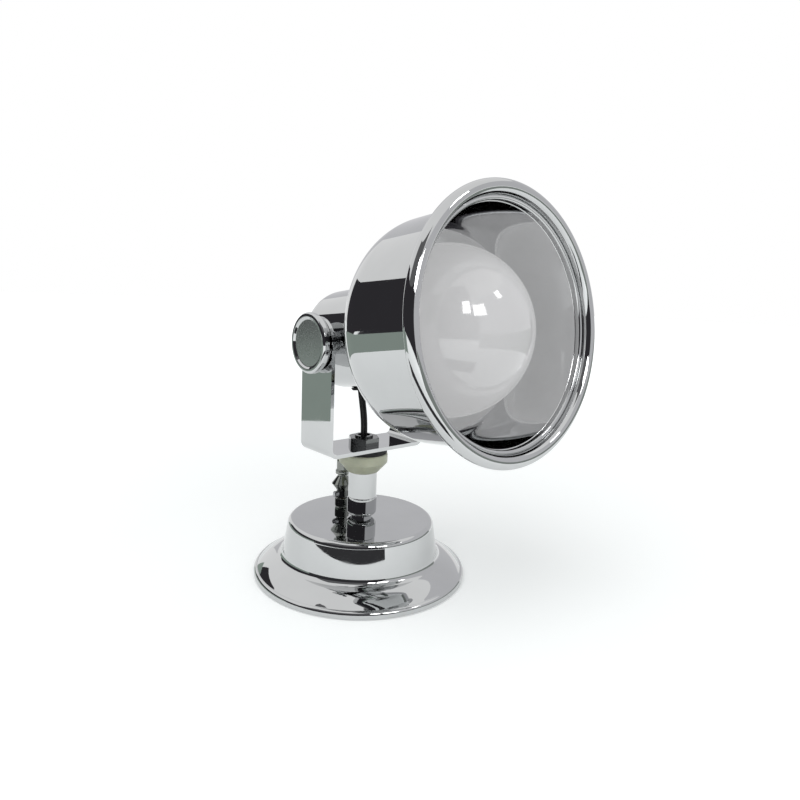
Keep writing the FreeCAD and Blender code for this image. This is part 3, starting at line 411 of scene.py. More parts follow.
def opal_glass(name, tint, light):
    """Glossy opal glass under a clear skin; its emission is a painted glow that makes the body evenly
    bright on the shaded side too.
    """
    s = Shader(name)
    cloud = s.spread(s.noise(14, 3, 0.5), 0, 1)
    s.link("Base Color", s.blend(cloud, shade(tint, 0.97), shade(tint, 1.03)))
    s.link("Roughness", s.spread(s.noise(70, 5, 0.6), 0.05, 0.12))
    s.link("Normal", s.bump(s.noise(22, 2, 0.4), 0.05, 0.0001))
    # The emission set by light is painted light: the unlit bulb glows evenly so its shaded side matches
    # its lit side.
    s.set(Subsurface_Weight=0.25, Subsurface_Radius=(1.0, 1.0, 1.0), Subsurface_Scale=0.004,
          Coat_Weight=0.6, Coat_Roughness=0.015, IOR=1.5,
          Emission_Color=(1.0, 1.0, 1.0, 1.0), Emission_Strength=light)
    return s.material


def glazed(name, tint):
    """Glazed porcelain with small iron specks."""
    s = Shader(name)
    specks = s.spread(s.noise(900, 1, 0.5), 0, 1, 0.70, 0.74)
    body = s.blend(s.spread(s.noise(45, 4), 0, 1), shade(tint, 0.95), shade(tint, 1.04))
    s.link("Base Color", s.blend(specks, body, (0.25, 0.19, 0.13)))
    s.link("Roughness", s.spread(s.noise(90, 3), 0.08, 0.2))
    s.link("Normal", s.bump(s.noise(60, 2), 0.1, 0.0001))
    s.set(Coat_Weight=0.5, Coat_Roughness=0.04)
    return s.material


def raw_metal(name, tint, rough=(0.22, 0.42), grain=(260, 40)):
    """Zinc plate, brass or rolled metal: crystal mottling and drawn lines."""
    s = Shader(name)
    s.set(Metallic=1.0)
    cells = s.add("ShaderNodeTexVoronoi", [("Vector", s.where)])
    cells.inputs["Scale"].default_value = grain[0]
    flakes = s.spread(cells.outputs["Distance"], 0, 1, 0.1, 0.8)
    s.link("Base Color", s.blend(flakes, shade(tint, 0.86), shade(tint, 1.08)))
    s.link("Roughness", s.spread(s.noise(grain[1], 5, 0.65), rough[0], rough[1]))
    s.link("Normal", s.bump(s.noise(420, 3, 0.5, (1, 1, 6)), 0.12, 0.00003))
    return s.material


def rough_casting(name, tint):
    s = Shader(name)
    s.set(Metallic=0.6)
    rust = s.spread(s.noise(120, 6, 0.7), 0, 0.6, 0.52, 0.75)
    s.link("Base Color", s.blend(rust, tint, (0.09, 0.045, 0.025)))
    s.link("Roughness", s.spread(s.noise(200, 4), 0.6, 0.9))
    s.link("Normal", s.bump(s.noise(330, 5, 0.7), 0.6, 0.0004))
    return s.material


def woven(name, tint):
    """Braided sleeving: two crossing sets of fine ribs, with painted shade in the grooves and lighter
    crests.
    """
    s = Shader(name)
    s.set(Specular_IOR_Level=0.4)
    ribs = []
    for turn in (0.7, -0.7):
        where = s.add("ShaderNodeMapping", [("Vector", s.where)], Rotation=(turn, turn, 0)).outputs[0]
        wave = s.add("ShaderNodeTexWave", [("Vector", where)], bands_direction="Z")
        wave.inputs["Scale"].default_value = 420.0
        ribs.append(wave.outputs["Fac"])
    braid = s.add("ShaderNodeMath", [(0, ribs[0]), (1, ribs[1])], operation="MAXIMUM").outputs[0]
    # The colour follows the rib height of the bump: painted shade in the grooves and a painted highlight
    # on the crests.
    s.link("Base Color", s.blend(braid, shade(tint, 0.6), shade(tint, 1.8)))
    s.link("Roughness", s.spread(braid, 0.75, 0.5, 0, 1))
    s.link("Normal", s.bump(braid, 0.5, 0.0001))
    return s.material


MATERIALS = {}
REFLECTOR_TURN = (math.pi / 2 - TILT, 0.0, 0.0)


def make_materials(finishes):
    axis_point = tuple(on_axis(0).translation)
    chrome = tuple(finishes.chrome)
    smear = finishes.smear
    m = MATERIALS
    m["upright"] = plated("chrome_upright", chrome, smear, rings=((0, 0, 0), (0, 0, 0)))
    m["reflector"] = plated("chrome_reflector", chrome, smear, rings=(axis_point, REFLECTOR_TURN))
    # Painted reflection: the bowl's inside gets a much lighter copy of the chrome, so the reflections
    # inside it come out brighter.
    m["inside"] = plated("chrome_inside_painted_bright", tuple(finishes.lining_painted_bright), smear * 0.8, rough=0.03,
                         rings=(axis_point, REFLECTOR_TURN))
    m["pivot"] = plated("chrome_pivot", chrome, smear, rough=0.03,
                        rings=((0, 0, PIVOT_HEIGHT * MM), (0, math.pi / 2, 0)))
    m["turned_face"] = plated("chrome_turned_face", chrome, smear, rough=0.26,
                              rings=((0, 0, PIVOT_HEIGHT * MM), (0, math.pi / 2, 0)))
    m["smoked"] = plated("smoked_nickel", tuple(finishes.smoked), smear * 2, rough=0.12)
    m["sheet"] = plated("chrome_sheet", chrome, smear)
    # Painted shade: a darkened copy of the plating for the switch and its ferrule, which sit in the
    # yoke's shadow.
    m["nickel"] = plated("nickel_painted_dark", tuple(finishes.nickel), smear * 1.5, rough=0.08,
                         rings=((0, SWITCH_BACK * MM, 0), (0, 0, 0)))
    m["ivory"] = moulded("ivory_fibre", tuple(finishes.ivory), glow=0.15)
    m["opal"] = opal_glass("opal_glass", tuple(finishes.opal), finishes.opal_painted_glow)
    m["rubber"] = soft_black("black_rubber", tuple(finishes.rubber))
    m["pad"] = soft_black("pad_rubber", shade(tuple(finishes.rubber), 1.6), grain=260,
                          rough=(0.75, 0.95))
    m["porcelain"] = glazed("glazed_porcelain", tuple(finishes.porcelain))
    m["brass"] = raw_metal("plain_brass", tuple(finishes.brass), rough=(0.2, 0.38), grain=(520, 60))
    m["zinc"] = raw_metal("zinc_plate", tuple(finishes.zinc))
    m["rolled"] = raw_metal("rolled_aluminium", (0.72, 0.73, 0.74), rough=(0.28, 0.4), grain=(700, 90))
    m["iron"] = rough_casting("cast_iron", (0.05, 0.05, 0.053))
    m["phenolic"] = moulded("dark_phenolic", (0.035, 0.026, 0.022), rough=(0.25, 0.4))
    m["sleeving"] = woven("braided_sleeving", (0.012, 0.012, 0.012))


class LAMP_OT_materials(bpy.types.Operator):
    """Make every finish of the lamp"""
    bl_idname = "lamp.materials"
    bl_label = "Finishes"

    def execute(self, context):
        make_materials(context.scene.lamp_finishes)
        return {"FINISHED"}


# Pieces

class LAMP_OT_base(bpy.types.Operator):
    """Pressed base cover, with its cable inlet"""
    bl_idname = "lamp.base"
    bl_label = "Base"

    def execute(self, context):
        edges = context.scene.lamp_edges
        # The drum narrows by 2.4 mm over the 14 mm of its straight wall
        lean = math.atan(2.4 / 14.0)
        inlet = at(0, 42.0, 21.0, Matrix.Rotation(lean - math.pi / 2, 4, "X"))
        cover = spun([
            (59.0, 0.6), (59.0, 2.2), (57.0, 4.2, 57.0, 2.2), (46.5, 10.2, 39.715, -13.862),
            (43.2, 14.0, 47.198, 14.139), (40.8, 28.0), (37.8, 31.0, 37.8, 28.0), (5.1, 31.0),
            (5.1, 29.8), (37.8, 29.8), (39.6, 28.0, 37.8, 28.0), (42.0, 14.0),
            (45.9, 9.0, 47.2, 14.035), (57.0, 3.0, 40.538, -14.188), (57.8, 2.2, 57.0, 2.2),
            (57.8, 0.6),
        ], edges.turned_edge, 224)
        tools = [
            cylinder(3.6, 25, 35, at(0, SWITCH_BACK, 0)),
            cylinder(3.9, -6, 6, inlet),
        ]
        finished(cover, "base_shell", MATERIALS["upright"], "base", ["base_cover"], tools)
        collar = spun([
            (2.6, -3.05), (5.6, -3.05), (5.6, -1.65), (3.6, -1.65), (3.6, 0.1), (5.6, 0.1),
            (5.6, 0.8), (4.9, 1.5), (2.6, 1.5),
        ], edges.moulded_edge, 96, inlet)
        finished(collar, "inlet_collar", MATERIALS["rubber"], "base", ["inlet_grommet"])
        return {"FINISHED"}


class LAMP_OT_swivel(bpy.types.Operator):
    """Swivel barrel and post"""
    bl_idname = "lamp.swivel"
    bl_label = "Swivel and post"

    def execute(self, context):
        edge = context.scene.lamp_edges.turned_edge
        barrel = spun([
            (5.68, 1.4), (5.7, 1.4), (8.3, 4.0, 5.7, 4.0), (8.3, 11.5), (7.8, 12.0),
            (6.68, 12.0), (6.68, 5.0), (5.68, 5.0),
        ], edge * 0.5, 128, at(0, 0, 31.0))
        finished(barrel, "swivel_collar", MATERIALS["upright"], "pan", ["swivel_barrel"])
        post = spun([
            (3.5, 0), (6.6, 0), (6.6, 3.1), (8.0, 3.1), (8.0, 17.6), (5.05, 17.6), (5.05, 7.6),
            (3.5, 7.6),
        ], edge, 128, at(0, 0, 39.9))
        finished(post, "post_column", MATERIALS["upright"], "pan", ["post_tube"])
        return {"FINISHED"}


class LAMP_OT_washers(bpy.types.Operator):
    """Ivory washer, and a black disc under the yoke that makes the dark band between the yoke and the
    washer
    """
    bl_idname = "lamp.washers"
    bl_label = "Washers"

    def execute(self, context):
        edge = context.scene.lamp_edges.moulded_edge
        cone = spun([(5.1, 0), (8.6, 0), (13.5, 5.6), (13.5, 10.15), (12.85, 10.8), (5.1, 10.8)],
                    edge, 128, at(0, 0, 57.5))
        finished(cone, "ivory_cone", MATERIALS["ivory"], "pan", ["insulating_washer"])
        # A black disc fills the dark band under the yoke's floor; it is given the black rubber finish.
        gasket = spun([(5.1, 0), (13.1, 0), (13.1, 2.7), (5.1, 2.7)], edge, 128, at(0, 0, 68.3))
        finished(gasket, "black_disc_under_yoke", MATERIALS["rubber"], "pan", ["yoke_gasket"])
        return {"FINISHED"}


class LAMP_OT_yoke(bpy.types.Operator):
    """Bent strap yoke, and the nut on its floor"""
    bl_idname = "lamp.yoke"
    bl_label = "Yoke"

    def execute(self, context):
        edges = context.scene.lamp_edges
        strap = 2.0
        outer = 5.0
        low = YOKE_BOTTOM + outer
        bm = bmesh.new()
        crown = bm.verts.new(Vector((YOKE_HALF, YOKE_REACH, PIVOT_HEIGHT)) * MM)
        arch = bmesh.ops.spin(bm, geom=[crown], cent=Vector((YOKE_HALF, 0, PIVOT_HEIGHT)) * MM,
                              axis=(1, 0, 0), angle=math.pi, steps=48)
        far = [v for v in arch["geom_last"] if isinstance(v, bmesh.types.BMVert)][0]
        feet = [bm.verts.new((YOKE_HALF * MM, v.co.y, low * MM)) for v in (crown, far)]
        for pair in ((crown, feet[0]), feet, (feet[1], far)):
            bm.edges.new(pair)
        bmesh.ops.contextual_create(bm, geom=bm.verts[:] + bm.edges[:])
        inner = bmesh.ops.extrude_face_region(bm, geom=bm.faces[:])
        moved = [v for v in inner["geom"] if isinstance(v, bmesh.types.BMVert)]
        bmesh.ops.translate(bm, vec=(-strap * MM, 0, 0), verts=moved)
        bm.faces.ensure_lookup_table()
        foot = [f for f in bm.faces if all(abs(v.co.z - low * MM) < 1e-7 for v in f.verts)]
        bent = bmesh.ops.spin(bm, geom=foot, cent=Vector((YOKE_HALF - outer, 0, low)) * MM,
                              axis=(0, 1, 0), angle=math.pi / 2, steps=12)
        end = [f for f in bent["geom_last"] if isinstance(f, bmesh.types.BMFace)]
        floor = bmesh.ops.extrude_face_region(bm, geom=end)
        middle = [v for v in floor["geom"] if isinstance(v, bmesh.types.BMVert)]
        bmesh.ops.translate(bm, vec=((outer - YOKE_HALF) * MM, 0, 0), verts=middle)
        inside = [f for f in bm.faces if all(abs(v.co.x) < 1e-7 for v in f.verts)]
        inside += foot + end
        bmesh.ops.delete(bm, geom=list({f for f in inside if f.is_valid}), context="FACES_ONLY")
        bmesh.ops.mirror(bm, geom=bm.verts[:] + bm.edges[:] + bm.faces[:], matrix=Matrix.Identity(4),
                         merge_dist=1e-6, axis="X")
        bmesh.ops.remove_doubles(bm, verts=bm.verts, dist=1e-7)
        bmesh.ops.recalc_face_normals(bm, faces=bm.faces)
        tools = [
            cylinder(5.1, 60, 80),
            cylinder(3.08, -40, 40, at(0, 0, PIVOT_HEIGHT, Matrix.Rotation(math.pi / 2, 4, "Y"))),
        ]
        finished(bm, "yoke_bracket", MATERIALS["sheet"], "pan", ["yoke"], tools,
                 edges.sheet_edge)
        finished(merged_copy("yoke_nut"), "yoke_lock_nut", MATERIALS["smoked"], "pan",
                 ["yoke_nut"], bevel=edges.turned_edge)
        return {"FINISHED"}


class LAMP_OT_cup(bpy.types.Operator):
    """Socket cup with its lead entry"""
    bl_idname = "lamp.cup"
    bl_label = "Socket cup"

    def execute(self, context):
        edges = context.scene.lamp_edges
        cup = spun([
            (0, 0), (14.7, 0), (26.7, 12.0, 14.7, 12.0), (26.7, 46.9), (25.5, 46.9), (25.5, 12.0),
            (14.7, 1.2, 14.7, 12.0), (0, 1.2),
        ], edges.sheet_edge, 192, on_axis(-27.9))
        entry = at(0, 4.663, 103.459, Matrix.Rotation(math.pi - TILT, 4, "X"))
        tools = [cylinder(3.6, -6, 4, entry)]
        for side in (-1, 1):
            tools.append(cylinder(3.1, -3, 3, beside(side, 26.0)))
        finished(cup, "cup_shell", MATERIALS["reflector"], "shade", ["socket_cup"], tools)
        eyelet = spun([
            (2.5, -3.15), (5.0, -3.15), (5.0, -1.85), (3.5, -1.85), (3.5, 0.05), (5.0, 0.05),
            (4.35, 1.35), (2.5, 1.35),
        ], edges.moulded_edge * 0.7, 72, entry)
        finished(eyelet, "entry_eyelet", MATERIALS["rubber"], "shade", ["entry_grommet"])
        return {"FINISHED"}


class LAMP_OT_reflector(bpy.types.Operator):
    """Reflector bowl, rim ring and clamp ring"""
    bl_idname = "lamp.reflector"
    bl_label = "Reflector"

    def execute(self, context):
        edges = context.scene.lamp_edges
        bowl = spun([
            (20.6, 0), (27.7, 0), (27.7, 8.695), (45.905, 23.879, -39.685, 107.988),
            (52.5, 40.0, 29.5, 40.0), (52.5, 75.6), (51.5, 75.6), (51.5, 40.0),
            (45.192, 24.58, 29.5, 40.0), (26.7, 9.226, -39.685, 107.988), (26.7, 1.0), (20.6, 1.0),
        ], edges.sheet_edge, 256, on_axis(19.0))
        shell = finished(bowl, "bowl_shell", MATERIALS["reflector"], "shade",
                         ["reflector_bowl"])
        turn_back = on_axis(0).inverted()

        def faces_inwards(centre, normal):
            place = turn_back @ centre
            way = turn_back.to_3x3() @ normal
            return place.x * way.x + place.y * way.y < 0

        second_finish(shell, MATERIALS["inside"], faces_inwards)
        rim = spun([
            (52.55, 0), (53.05, 0), (58.678, 5.161, 66.365, -8.872), (60.0, 7.7, 56.9, 7.7),
            (56.9, 10.8, 56.9, 7.7), (53.8, 7.7, 56.9, 7.7), (54.09, 6.39, 56.9, 7.7),
            (52.8, 6.7, 53.27, 5.818), (51.8, 5.7, 52.8, 5.7), (51.8, 4.15), (52.55, 4.15),
        ], edges.sheet_edge * 0.3, 256, on_axis(90.5))
        finished(rim, "rim_bead", MATERIALS["reflector"], "shade", ["rim_ring"])
        clamp = spun([(20.55, 0), (23.6, 0), (23.6, 2.8), (20.55, 2.8)], edges.turned_edge, 96,
                     on_axis(20.0))
        finished(clamp, "clamp_collar", MATERIALS["zinc"], "shade", ["clamp_ring"])
        return {"FINISHED"}


class LAMP_OT_bulb(bpy.types.Operator):
    """Opal globe and the porcelain holder behind it"""
    bl_idname = "lamp.bulb"
    bl_label = "Bulb and holder"

    def execute(self, context):
        edges = context.scene.lamp_edges
        globe = spun([
            (13.2, 0), (13.9, 9.0), (17.6, 15.569, 20.785, 9.448), (40.0, 51.489, 0, 51.489),
            (0, 91.489, 0, 51.489), (0, 90.489), (39.0, 51.489, 0, 51.489),
            (15.191, 15.569, 0, 51.489), (12.9, 9.0, 20.743, 9.949), (12.2, 0),
        ], 0.0, 192, on_axis(9.0))
        finished(globe, "opal_globe", MATERIALS["opal"], "shade", ["bulb_glass"])
        holder = spun([
            (0, 0), (13.0, 0), (13.0, 3.6), (18.4, 3.6), (18.4, 36.7), (20.4, 38.7), (20.4, 49.5),
            (18.6, 49.5), (18.6, 38.7), (14.25, 36.7), (14.25, 11.7), (0, 11.7),
        ], edges.moulded_edge, 128, on_axis(-26.7))
        tools = []
        for side in (-1, 1):
            place = on_axis(-26.7) @ Matrix.Translation((side * 9.0 * MM, 0, 0))
            tools.append(cylinder(1.5, -2, 4.5, place, 32))
        finished(holder, "holder_body", MATERIALS["porcelain"], "shade",
                 ["lamp_holder"], tools)
        return {"FINISHED"}


class LAMP_OT_knobs(bpy.types.Operator):
    """Thumb knobs, the bosses inside the yoke and the friction washers"""
    bl_idname = "lamp.knobs"
    bl_label = "Thumb knobs"

    def execute(self, context):
        edges = context.scene.lamp_edges
        face_radius = 12.4 * MM
        # The washers are drawn 0.01 mm clear of the pieces on both sides
        low = 0.01
        high = 0.79
        for name, side in (("left", -1), ("right", 1)):
            knob = spun([
                (3.05, 0), (13.9, 0), (15.3, 2.2), (15.3, 3.7), (13.8, 5.2, 13.8, 3.7), (13.0, 5.2),
                (11.8, 4.3), (0, 4.3), (0, 3.1), (3.05, 3.1),
            ], edges.turned_edge, 160, beside(side, 32.8))
            thumb = finished(knob, "knob_" + name, MATERIALS["pivot"], "knob_" + name,
                             ["thumb_knob_" + name])
            second_finish(thumb, MATERIALS["turned_face"], lambda centre, normal: normal.x * side > 0.99
                          and math.hypot(centre.y, centre.z - PIVOT_HEIGHT * MM) < face_radius)
            boss = spun([(3.1, 0), (6.5, 0), (6.5, 2.4), (3.1, 2.4)], edges.turned_edge, 96,
                        beside(side, 26.8))
            finished(boss, "boss_" + name, MATERIALS["pivot"], "shade", ["pivot_boss_" + name])
            for what, radius, start in (("inner", 7.0, 29.2), ("outer", 8.0, 32.0)):
                washer = spun([(3.1, low), (radius, low), (radius, high), (3.1, high)],
                              edges.turned_edge * 0.8, 96, beside(side, start))
                finished(washer, what + "_disc_" + name, MATERIALS["zinc"], "shade",
                         [what + "_washer_" + name])
        return {"FINISHED"}


class LAMP_OT_switch(bpy.types.Operator):
    """Turned switch knob and the nut under it"""
    bl_idname = "lamp.switch"
    bl_label = "Switch"

    def execute(self, context):
        edge = context.scene.lamp_edges.turned_edge
        knob = spun([
            (1.55, 0), (3.3, 0), (3.3, 4.4), (6.3, 8.2), (2.9, 12.8), (2.9, 13.7), (4.2, 14.15),
            (4.2, 16.05), (3.6, 16.5), (3.6, 21.5), (2.0, 23.1, 2.0, 21.5), (0, 23.1), (0, 8.0),
            (1.55, 8.0),
        ], edge, 96, at(0, SWITCH_BACK, 37.1))
        hole = cylinder(1.15, -5, 0, at(0, SWITCH_BACK, 39.3, Matrix.Rotation(math.pi / 2, 4, "Y")), 32)
        finished(knob, "switch_finial", MATERIALS["nickel"], "switch",
                 ["switch_knob"], [hole])
        nut = spun([(3.55, 0), (3.85, 0), (4.2, 1.4), (4.2, 5.45), (3.85, 5.8), (3.55, 5.8)],
                   edge, 96, at(0, SWITCH_BACK, 31.0))
        finished(nut, "switch_ferrule", MATERIALS["nickel"], "base", ["switch_nut"])
        return {"FINISHED"}


class LAMP_OT_screws(bpy.types.Operator):
    """Slotted screws in the cup's back"""
    bl_idname = "lamp.screws"
    bl_label = "Screws"

    def execute(self, context):
        edge = context.scene.lamp_edges.turned_edge
        back = bmesh.new()
        slots = []
        for side in (-1, 1):
            place = on_axis(-27.9) @ Matrix.Translation((side * 9.0 * MM, 0, 0))
            join(back, spun([(0, -1.8), (1.9, -1.8), (2.9, -0.9, 1.9, -0.8), (2.9, -0.05), (1.45, -0.05),
                             (1.45, 4.4), (0, 4.4)], edge * 0.5, 64, place))
            slots.append(block((6.4, 0.7, 1.6), place @ at(0, 0, -1.9)))
        finished(back, "cup_screws", MATERIALS["zinc"], "shade", ["holder_screws"], slots)
        return {"FINISHED"}


class LAMP_OT_leads(bpy.types.Operator):
    """Two sleeved leads between the nipple and the cup"""
    bl_idname = "lamp.leads"
    bl_label = "Leads"

    def execute(self, context):
        turn = math.atan2(LEAD_TOP[0], LEAD_TOP[1] - LEAD_BEND)
        rise = LEAD_CURVE * math.tan(turn / 2)
        straight = LEAD_BEND - rise - LEAD_LOW
        top = math.hypot(LEAD_TOP[0], LEAD_TOP[1] - LEAD_BEND) - rise
        way = Vector((0, math.sin(turn), math.cos(turn)))
        both = bmesh.new()
        for side in (-1, 1):
            bm = bmesh.new()
            bmesh.ops.create_circle(bm, cap_ends=False, segments=24, radius=LEAD_RADIUS * MM,
                                    matrix=at(side * LEAD_APART, 0, LEAD_LOW))
            ring = bm.edges[:]
            for length, direction, parts in (
                (straight, Vector((0, 0, 1)), 12), (0, None, 6), (top, way, 16),
            ):
                if direction is None:
                    centre = Vector((0, LEAD_CURVE, LEAD_BEND - rise)) * MM
                    made = bmesh.ops.spin(bm, geom=ring, cent=centre, axis=(-1, 0, 0), angle=turn,
                                          steps=parts)
                    ring = [e for e in made["geom_last"] if isinstance(e, bmesh.types.BMEdge)]
                    continue
                for part in range(parts):
                    made = bmesh.ops.extrude_edge_only(bm, edges=ring)["geom"]
                    ring = [e for e in made if isinstance(e, bmesh.types.BMEdge)]
                    points = [v for v in made if isinstance(v, bmesh.types.BMVert)]
                    bmesh.ops.translate(bm, vec=direction * (length / parts * MM), verts=points)
            bmesh.ops.holes_fill(bm, edges=[e for e in bm.edges if e.is_boundary])
            bmesh.ops.recalc_face_normals(bm, faces=bm.faces)
            join(both, bm)
        leads = new_object(both, "lead_pair")
        leads.data.polygons.foreach_set("use_smooth", [True] * len(leads.data.polygons))
        leads.data.materials.append(MATERIALS["sleeving"])
        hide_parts("lead_wires")
        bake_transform(leads)
        return {"FINISHED"}


# The finish of each CAD part that is kept as it is
CARRIED = {
    "foot_pad": "pad", "base_plate": "zinc", "base_weight": "iron", "base_screws": "zinc",
    "weight_washer": "zinc", "weight_nut": "zinc", "spacer_tube": "zinc", "swivel_stem": "upright",
    "switch_body": "phenolic", "switch_shaft": "brass", "knob_screw": "zinc", "swivel_spring": "zinc",
    "yoke_nipple": "smoked", "screw_shell": "brass", "holder_contact": "brass",
    "bulb_contact": "brass", "bulb_cap": "rolled", "cap_insulator": "phenolic",
    "pivot_stud_left": "zinc", "pivot_stud_right": "zinc",
}


class LAMP_OT_carried(bpy.types.Operator):
    """Give the carried-over parts their finishes"""
    bl_idname = "lamp.carried"
    bl_label = "Carried-over parts"

    def execute(self, context):
        for name, node in NODES.items():
            finish = MATERIALS[CARRIED.get(name, "sheet")]
            if not node.material_slots:
                node.data.materials.append(finish)
            for slot in node.material_slots:
                slot.material = finish
        return {"FINISHED"}


# Studio

# The camera's side of the lamp in degrees, and the level that the cards' angles start from
CAMERA_SIDE = -131.56
LAMP_MIDDLE = 0.13
CARD_STEPS = 24
WINDOW_LIGHT = 9.0

# The camera fitted to the photo: lens in millimetres, place in metres, turn in degrees
CAMERA_LENS = 27.8231
CAMERA_PLACE = (-0.206015, -0.261001, 0.156327)
CAMERA_TURN = (80.0322, -2.4819, -41.1246)


def glow(name, tint, strength=1.0):
    """A surface that shows one even colour."""
    material = bpy.data.materials.new(name)
    material.use_nodes = True
    tree = material.node_tree
    tree.nodes.clear()
    light = tree.nodes.new("ShaderNodeEmission")
    light.inputs["Color"].default_value = (*tint, 1)
    light.inputs["Strength"].default_value = strength
    out = tree.nodes.new("ShaderNodeOutputMaterial")
    tree.links.new(light.outputs[0], out.inputs[0])
    return material


def card(name, around, heights, distance, tint, strength=1.0, rise=0.0):
    """A curved card round the lamp, seen only in its reflections.

    The angles are in degrees, round from the camera's side and up from the level of the lamp.
    Its far end is higher than its near end by the rise, in metres.
    """
    bm = bmesh.new()
    start = math.radians(CAMERA_SIDE + around[0])
    ends = []
    for height in heights:
        z = LAMP_MIDDLE + distance * math.tan(math.radians(height))
        ends.append(bm.verts.new((distance * math.cos(start), distance * math.sin(start), z)))
    edge = bm.edges.new(ends)
    bmesh.ops.spin(bm, geom=ends + [edge], cent=(0, 0, 0), axis=(0, 0, 1),
                   angle=math.radians(around[1] - around[0]), steps=CARD_STEPS,
                   dvec=(0, 0, rise / CARD_STEPS))
    piece = new_object(bm, name)
    piece.data.materials.append(glow(name, tint, strength))
    piece.visible_camera = False
    piece.visible_diffuse = False
    piece.visible_shadow = False


def shown_plainly(tree):
    """1 for the rays of the camera, of mirrors and through glass, else 0."""
    path = tree.nodes.new("ShaderNodeLightPath")
    total = path.outputs["Is Camera Ray"]
    for name in ("Is Glossy Ray", "Is Transmission Ray"):
        both = tree.nodes.new("ShaderNodeMath")
        both.operation = "MAXIMUM"
        tree.links.new(total, both.inputs[0])
        tree.links.new(path.outputs[name], both.inputs[1])
        total = both.outputs[0]
    return total


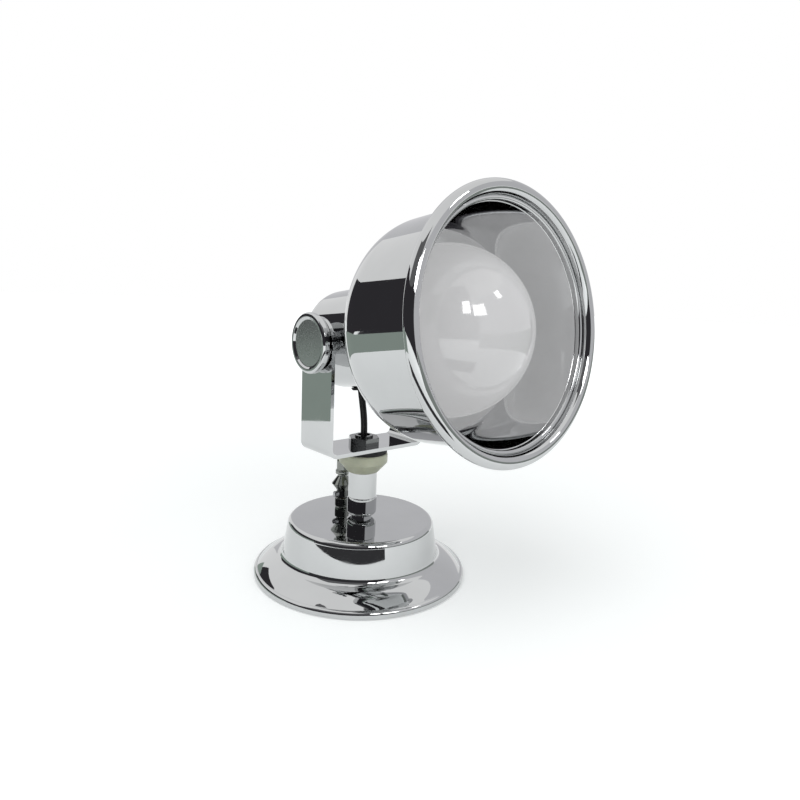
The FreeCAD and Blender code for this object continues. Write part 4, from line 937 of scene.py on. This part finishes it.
class LAMP_OT_studio(bpy.types.Operator):
    """Pale floor, soft lights, reflection cards and the camera"""
    bl_idname = "lamp.studio"
    bl_label = "Studio"

    def execute(self, context):
        scene = context.scene
        studio = scene.lamp_studio
        self.make_world(scene, studio.world_level)
        self.make_floor()
        room = (0.040, 0.038, 0.043)
        card("dark_room_left", (-136, -98), (-16, 19), 1.5, room, rise=0.36)
        card("dark_room_side", (-98, -62), (-7, 30.5), 1.5, room)
        card("dark_room_front", (-62, 36), (-7, 30), 1.5, room)
        card("dim_room_high", (-62, 30), (30, 60), 1.5, (0.16, 0.16, 0.165))
        card("table_edge_left", (-136, -62), (-16.8, -4.0), 0.43, (0.33, 0.39, 0.35))
        card("table_edge_front", (-62, 36), (-31, -19), 0.21, (0.05, 0.05, 0.053))
        card("grey_strip_right", (36, 128), (-12, 3), 0.62, (0.30, 0.33, 0.31))
        card("grey_wall_right", (36, 206), (3, 42), 1.6, (0.70, 0.70, 0.72))
        card("window_pane_1", (17, 27), (24, 38), 0.6, (1, 1, 1), WINDOW_LIGHT)
        card("window_pane_2", (30, 46), (21, 33), 0.6, (1, 1, 1), WINDOW_LIGHT)
        card("window_small", (70, 79), (34, 41), 0.6, (1, 1, 1), WINDOW_LIGHT)
        self.make_light("key", (-0.55, -0.25, 0.95), 0.9, studio.key_power)
        self.make_light("fill", (-0.15, -0.95, 0.45), 0.7, studio.fill_power)
        data = bpy.data.cameras.new("camera")
        data.sensor_width = 36.0
        data.lens = CAMERA_LENS
        camera = bpy.data.objects.new("camera", data)
        camera.location = CAMERA_PLACE
        camera.rotation_euler = [math.radians(angle) for angle in CAMERA_TURN]
        scene.collection.objects.link(camera)
        scene.camera = camera
        scene.view_settings.view_transform = "Standard"
        return {"FINISHED"}

    def make_world(self, scene, level):
        world = bpy.data.worlds.new("studio")
        world.use_nodes = True
        tree = world.node_tree
        tree.nodes.clear()
        room = tree.nodes.new("ShaderNodeBackground")
        room.inputs["Color"].default_value = (1.0, 1.0, 1.0, 1)
        room.inputs["Strength"].default_value = level
        white = tree.nodes.new("ShaderNodeBackground")
        white.inputs["Color"].default_value = (1, 1, 1, 1)
        white.inputs["Strength"].default_value = 1.0
        pick = tree.nodes.new("ShaderNodeMixShader")
        out = tree.nodes.new("ShaderNodeOutputWorld")
        tree.links.new(shown_plainly(tree), pick.inputs[0])
        tree.links.new(room.outputs[0], pick.inputs[1])
        tree.links.new(white.outputs[0], pick.inputs[2])
        tree.links.new(pick.outputs[0], out.inputs[0])
        scene.world = world

    def make_floor(self):
        bm = bmesh.new()
        bmesh.ops.create_circle(bm, cap_ends=True, segments=96, radius=6.0)
        floor = new_object(bm, "floor")
        material = bpy.data.materials.new("pale_floor")
        material.use_nodes = True
        tree = material.node_tree
        main = tree.nodes["Principled BSDF"]
        main.inputs["Base Color"].default_value = (0.74, 0.76, 0.76, 1)
        main.inputs["Roughness"].default_value = 0.9
        main.inputs["Specular IOR Level"].default_value = 0.1
        lift = tree.nodes.new("ShaderNodeEmission")
        lift.inputs["Color"].default_value = (0.98, 1.0, 1.0, 1)
        where = tree.nodes.new("ShaderNodeTexCoord")
        far = tree.nodes.new("ShaderNodeVectorMath")
        far.operation = "LENGTH"
        tree.links.new(where.outputs["Object"], far.inputs[0])
        level = tree.nodes.new("ShaderNodeMapRange")
        for socket, value in (("From Min", 0.15), ("From Max", 1.2), ("To Min", 0.30), ("To Max", 0.75)):
            level.inputs[socket].default_value = value
        tree.links.new(far.outputs["Value"], level.inputs["Value"])
        times = tree.nodes.new("ShaderNodeMath")
        times.operation = "MULTIPLY"
        tree.links.new(level.outputs["Result"], times.inputs[1])
        tree.links.new(shown_plainly(tree), times.inputs[0])
        tree.links.new(times.outputs[0], lift.inputs["Strength"])
        both = tree.nodes.new("ShaderNodeAddShader")
        tree.links.new(main.outputs[0], both.inputs[0])
        tree.links.new(lift.outputs[0], both.inputs[1])
        tree.links.new(both.outputs[0], tree.nodes["Material Output"].inputs[0])
        floor.data.materials.append(material)

    def make_light(self, name, place, size, power):
        data = bpy.data.lights.new(name, "AREA")
        data.shape = "DISK"
        data.size = size
        data.energy = power
        light = bpy.data.objects.new(name, data)
        light.location = place
        light.rotation_euler = (Vector((0, 0, 0.08)) - Vector(place)).to_track_quat("-Z", "Y").to_euler()
        light.visible_glossy = False
        bpy.context.scene.collection.objects.link(light)


class LAMP_PT_panel(bpy.types.Panel):
    """The lamp's settings and the steps that build it"""
    bl_idname = "LAMP_PT_panel"
    bl_label = "Searchlight lamp"
    bl_space_type = "VIEW_3D"
    bl_region_type = "UI"
    bl_category = "Lamp"

    def draw(self, context):
        layout = self.layout
        for group in (context.scene.lamp_finishes, context.scene.lamp_edges, context.scene.lamp_studio):
            for name in group.__annotations__:
                layout.prop(group, name)
        for step in STEPS:
            layout.operator(step.bl_idname)


GROUPS = (("lamp_finishes", LampFinishes), ("lamp_edges", LampEdges), ("lamp_studio", LampStudio))
STEPS = (
    LAMP_OT_materials, LAMP_OT_base, LAMP_OT_swivel, LAMP_OT_washers, LAMP_OT_yoke, LAMP_OT_cup,
    LAMP_OT_reflector, LAMP_OT_bulb, LAMP_OT_knobs, LAMP_OT_switch, LAMP_OT_screws, LAMP_OT_leads,
    LAMP_OT_carried, LAMP_OT_studio,
)


def register():
    for name, group in GROUPS:
        bpy.utils.register_class(group)
        setattr(bpy.types.Scene, name, PointerProperty(type=group))
    for step in STEPS:
        bpy.utils.register_class(step)
    bpy.utils.register_class(LAMP_PT_panel)


def unregister():
    bpy.utils.unregister_class(LAMP_PT_panel)
    for step in reversed(STEPS):
        bpy.utils.unregister_class(step)
    for name, group in reversed(GROUPS):
        delattr(bpy.types.Scene, name)
        bpy.utils.unregister_class(group)


def main():
    register()
    for step in STEPS:
        group, name = step.bl_idname.split(".")
        getattr(getattr(bpy.ops, group), name)()
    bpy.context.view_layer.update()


if __name__ == "__main__":
    main()
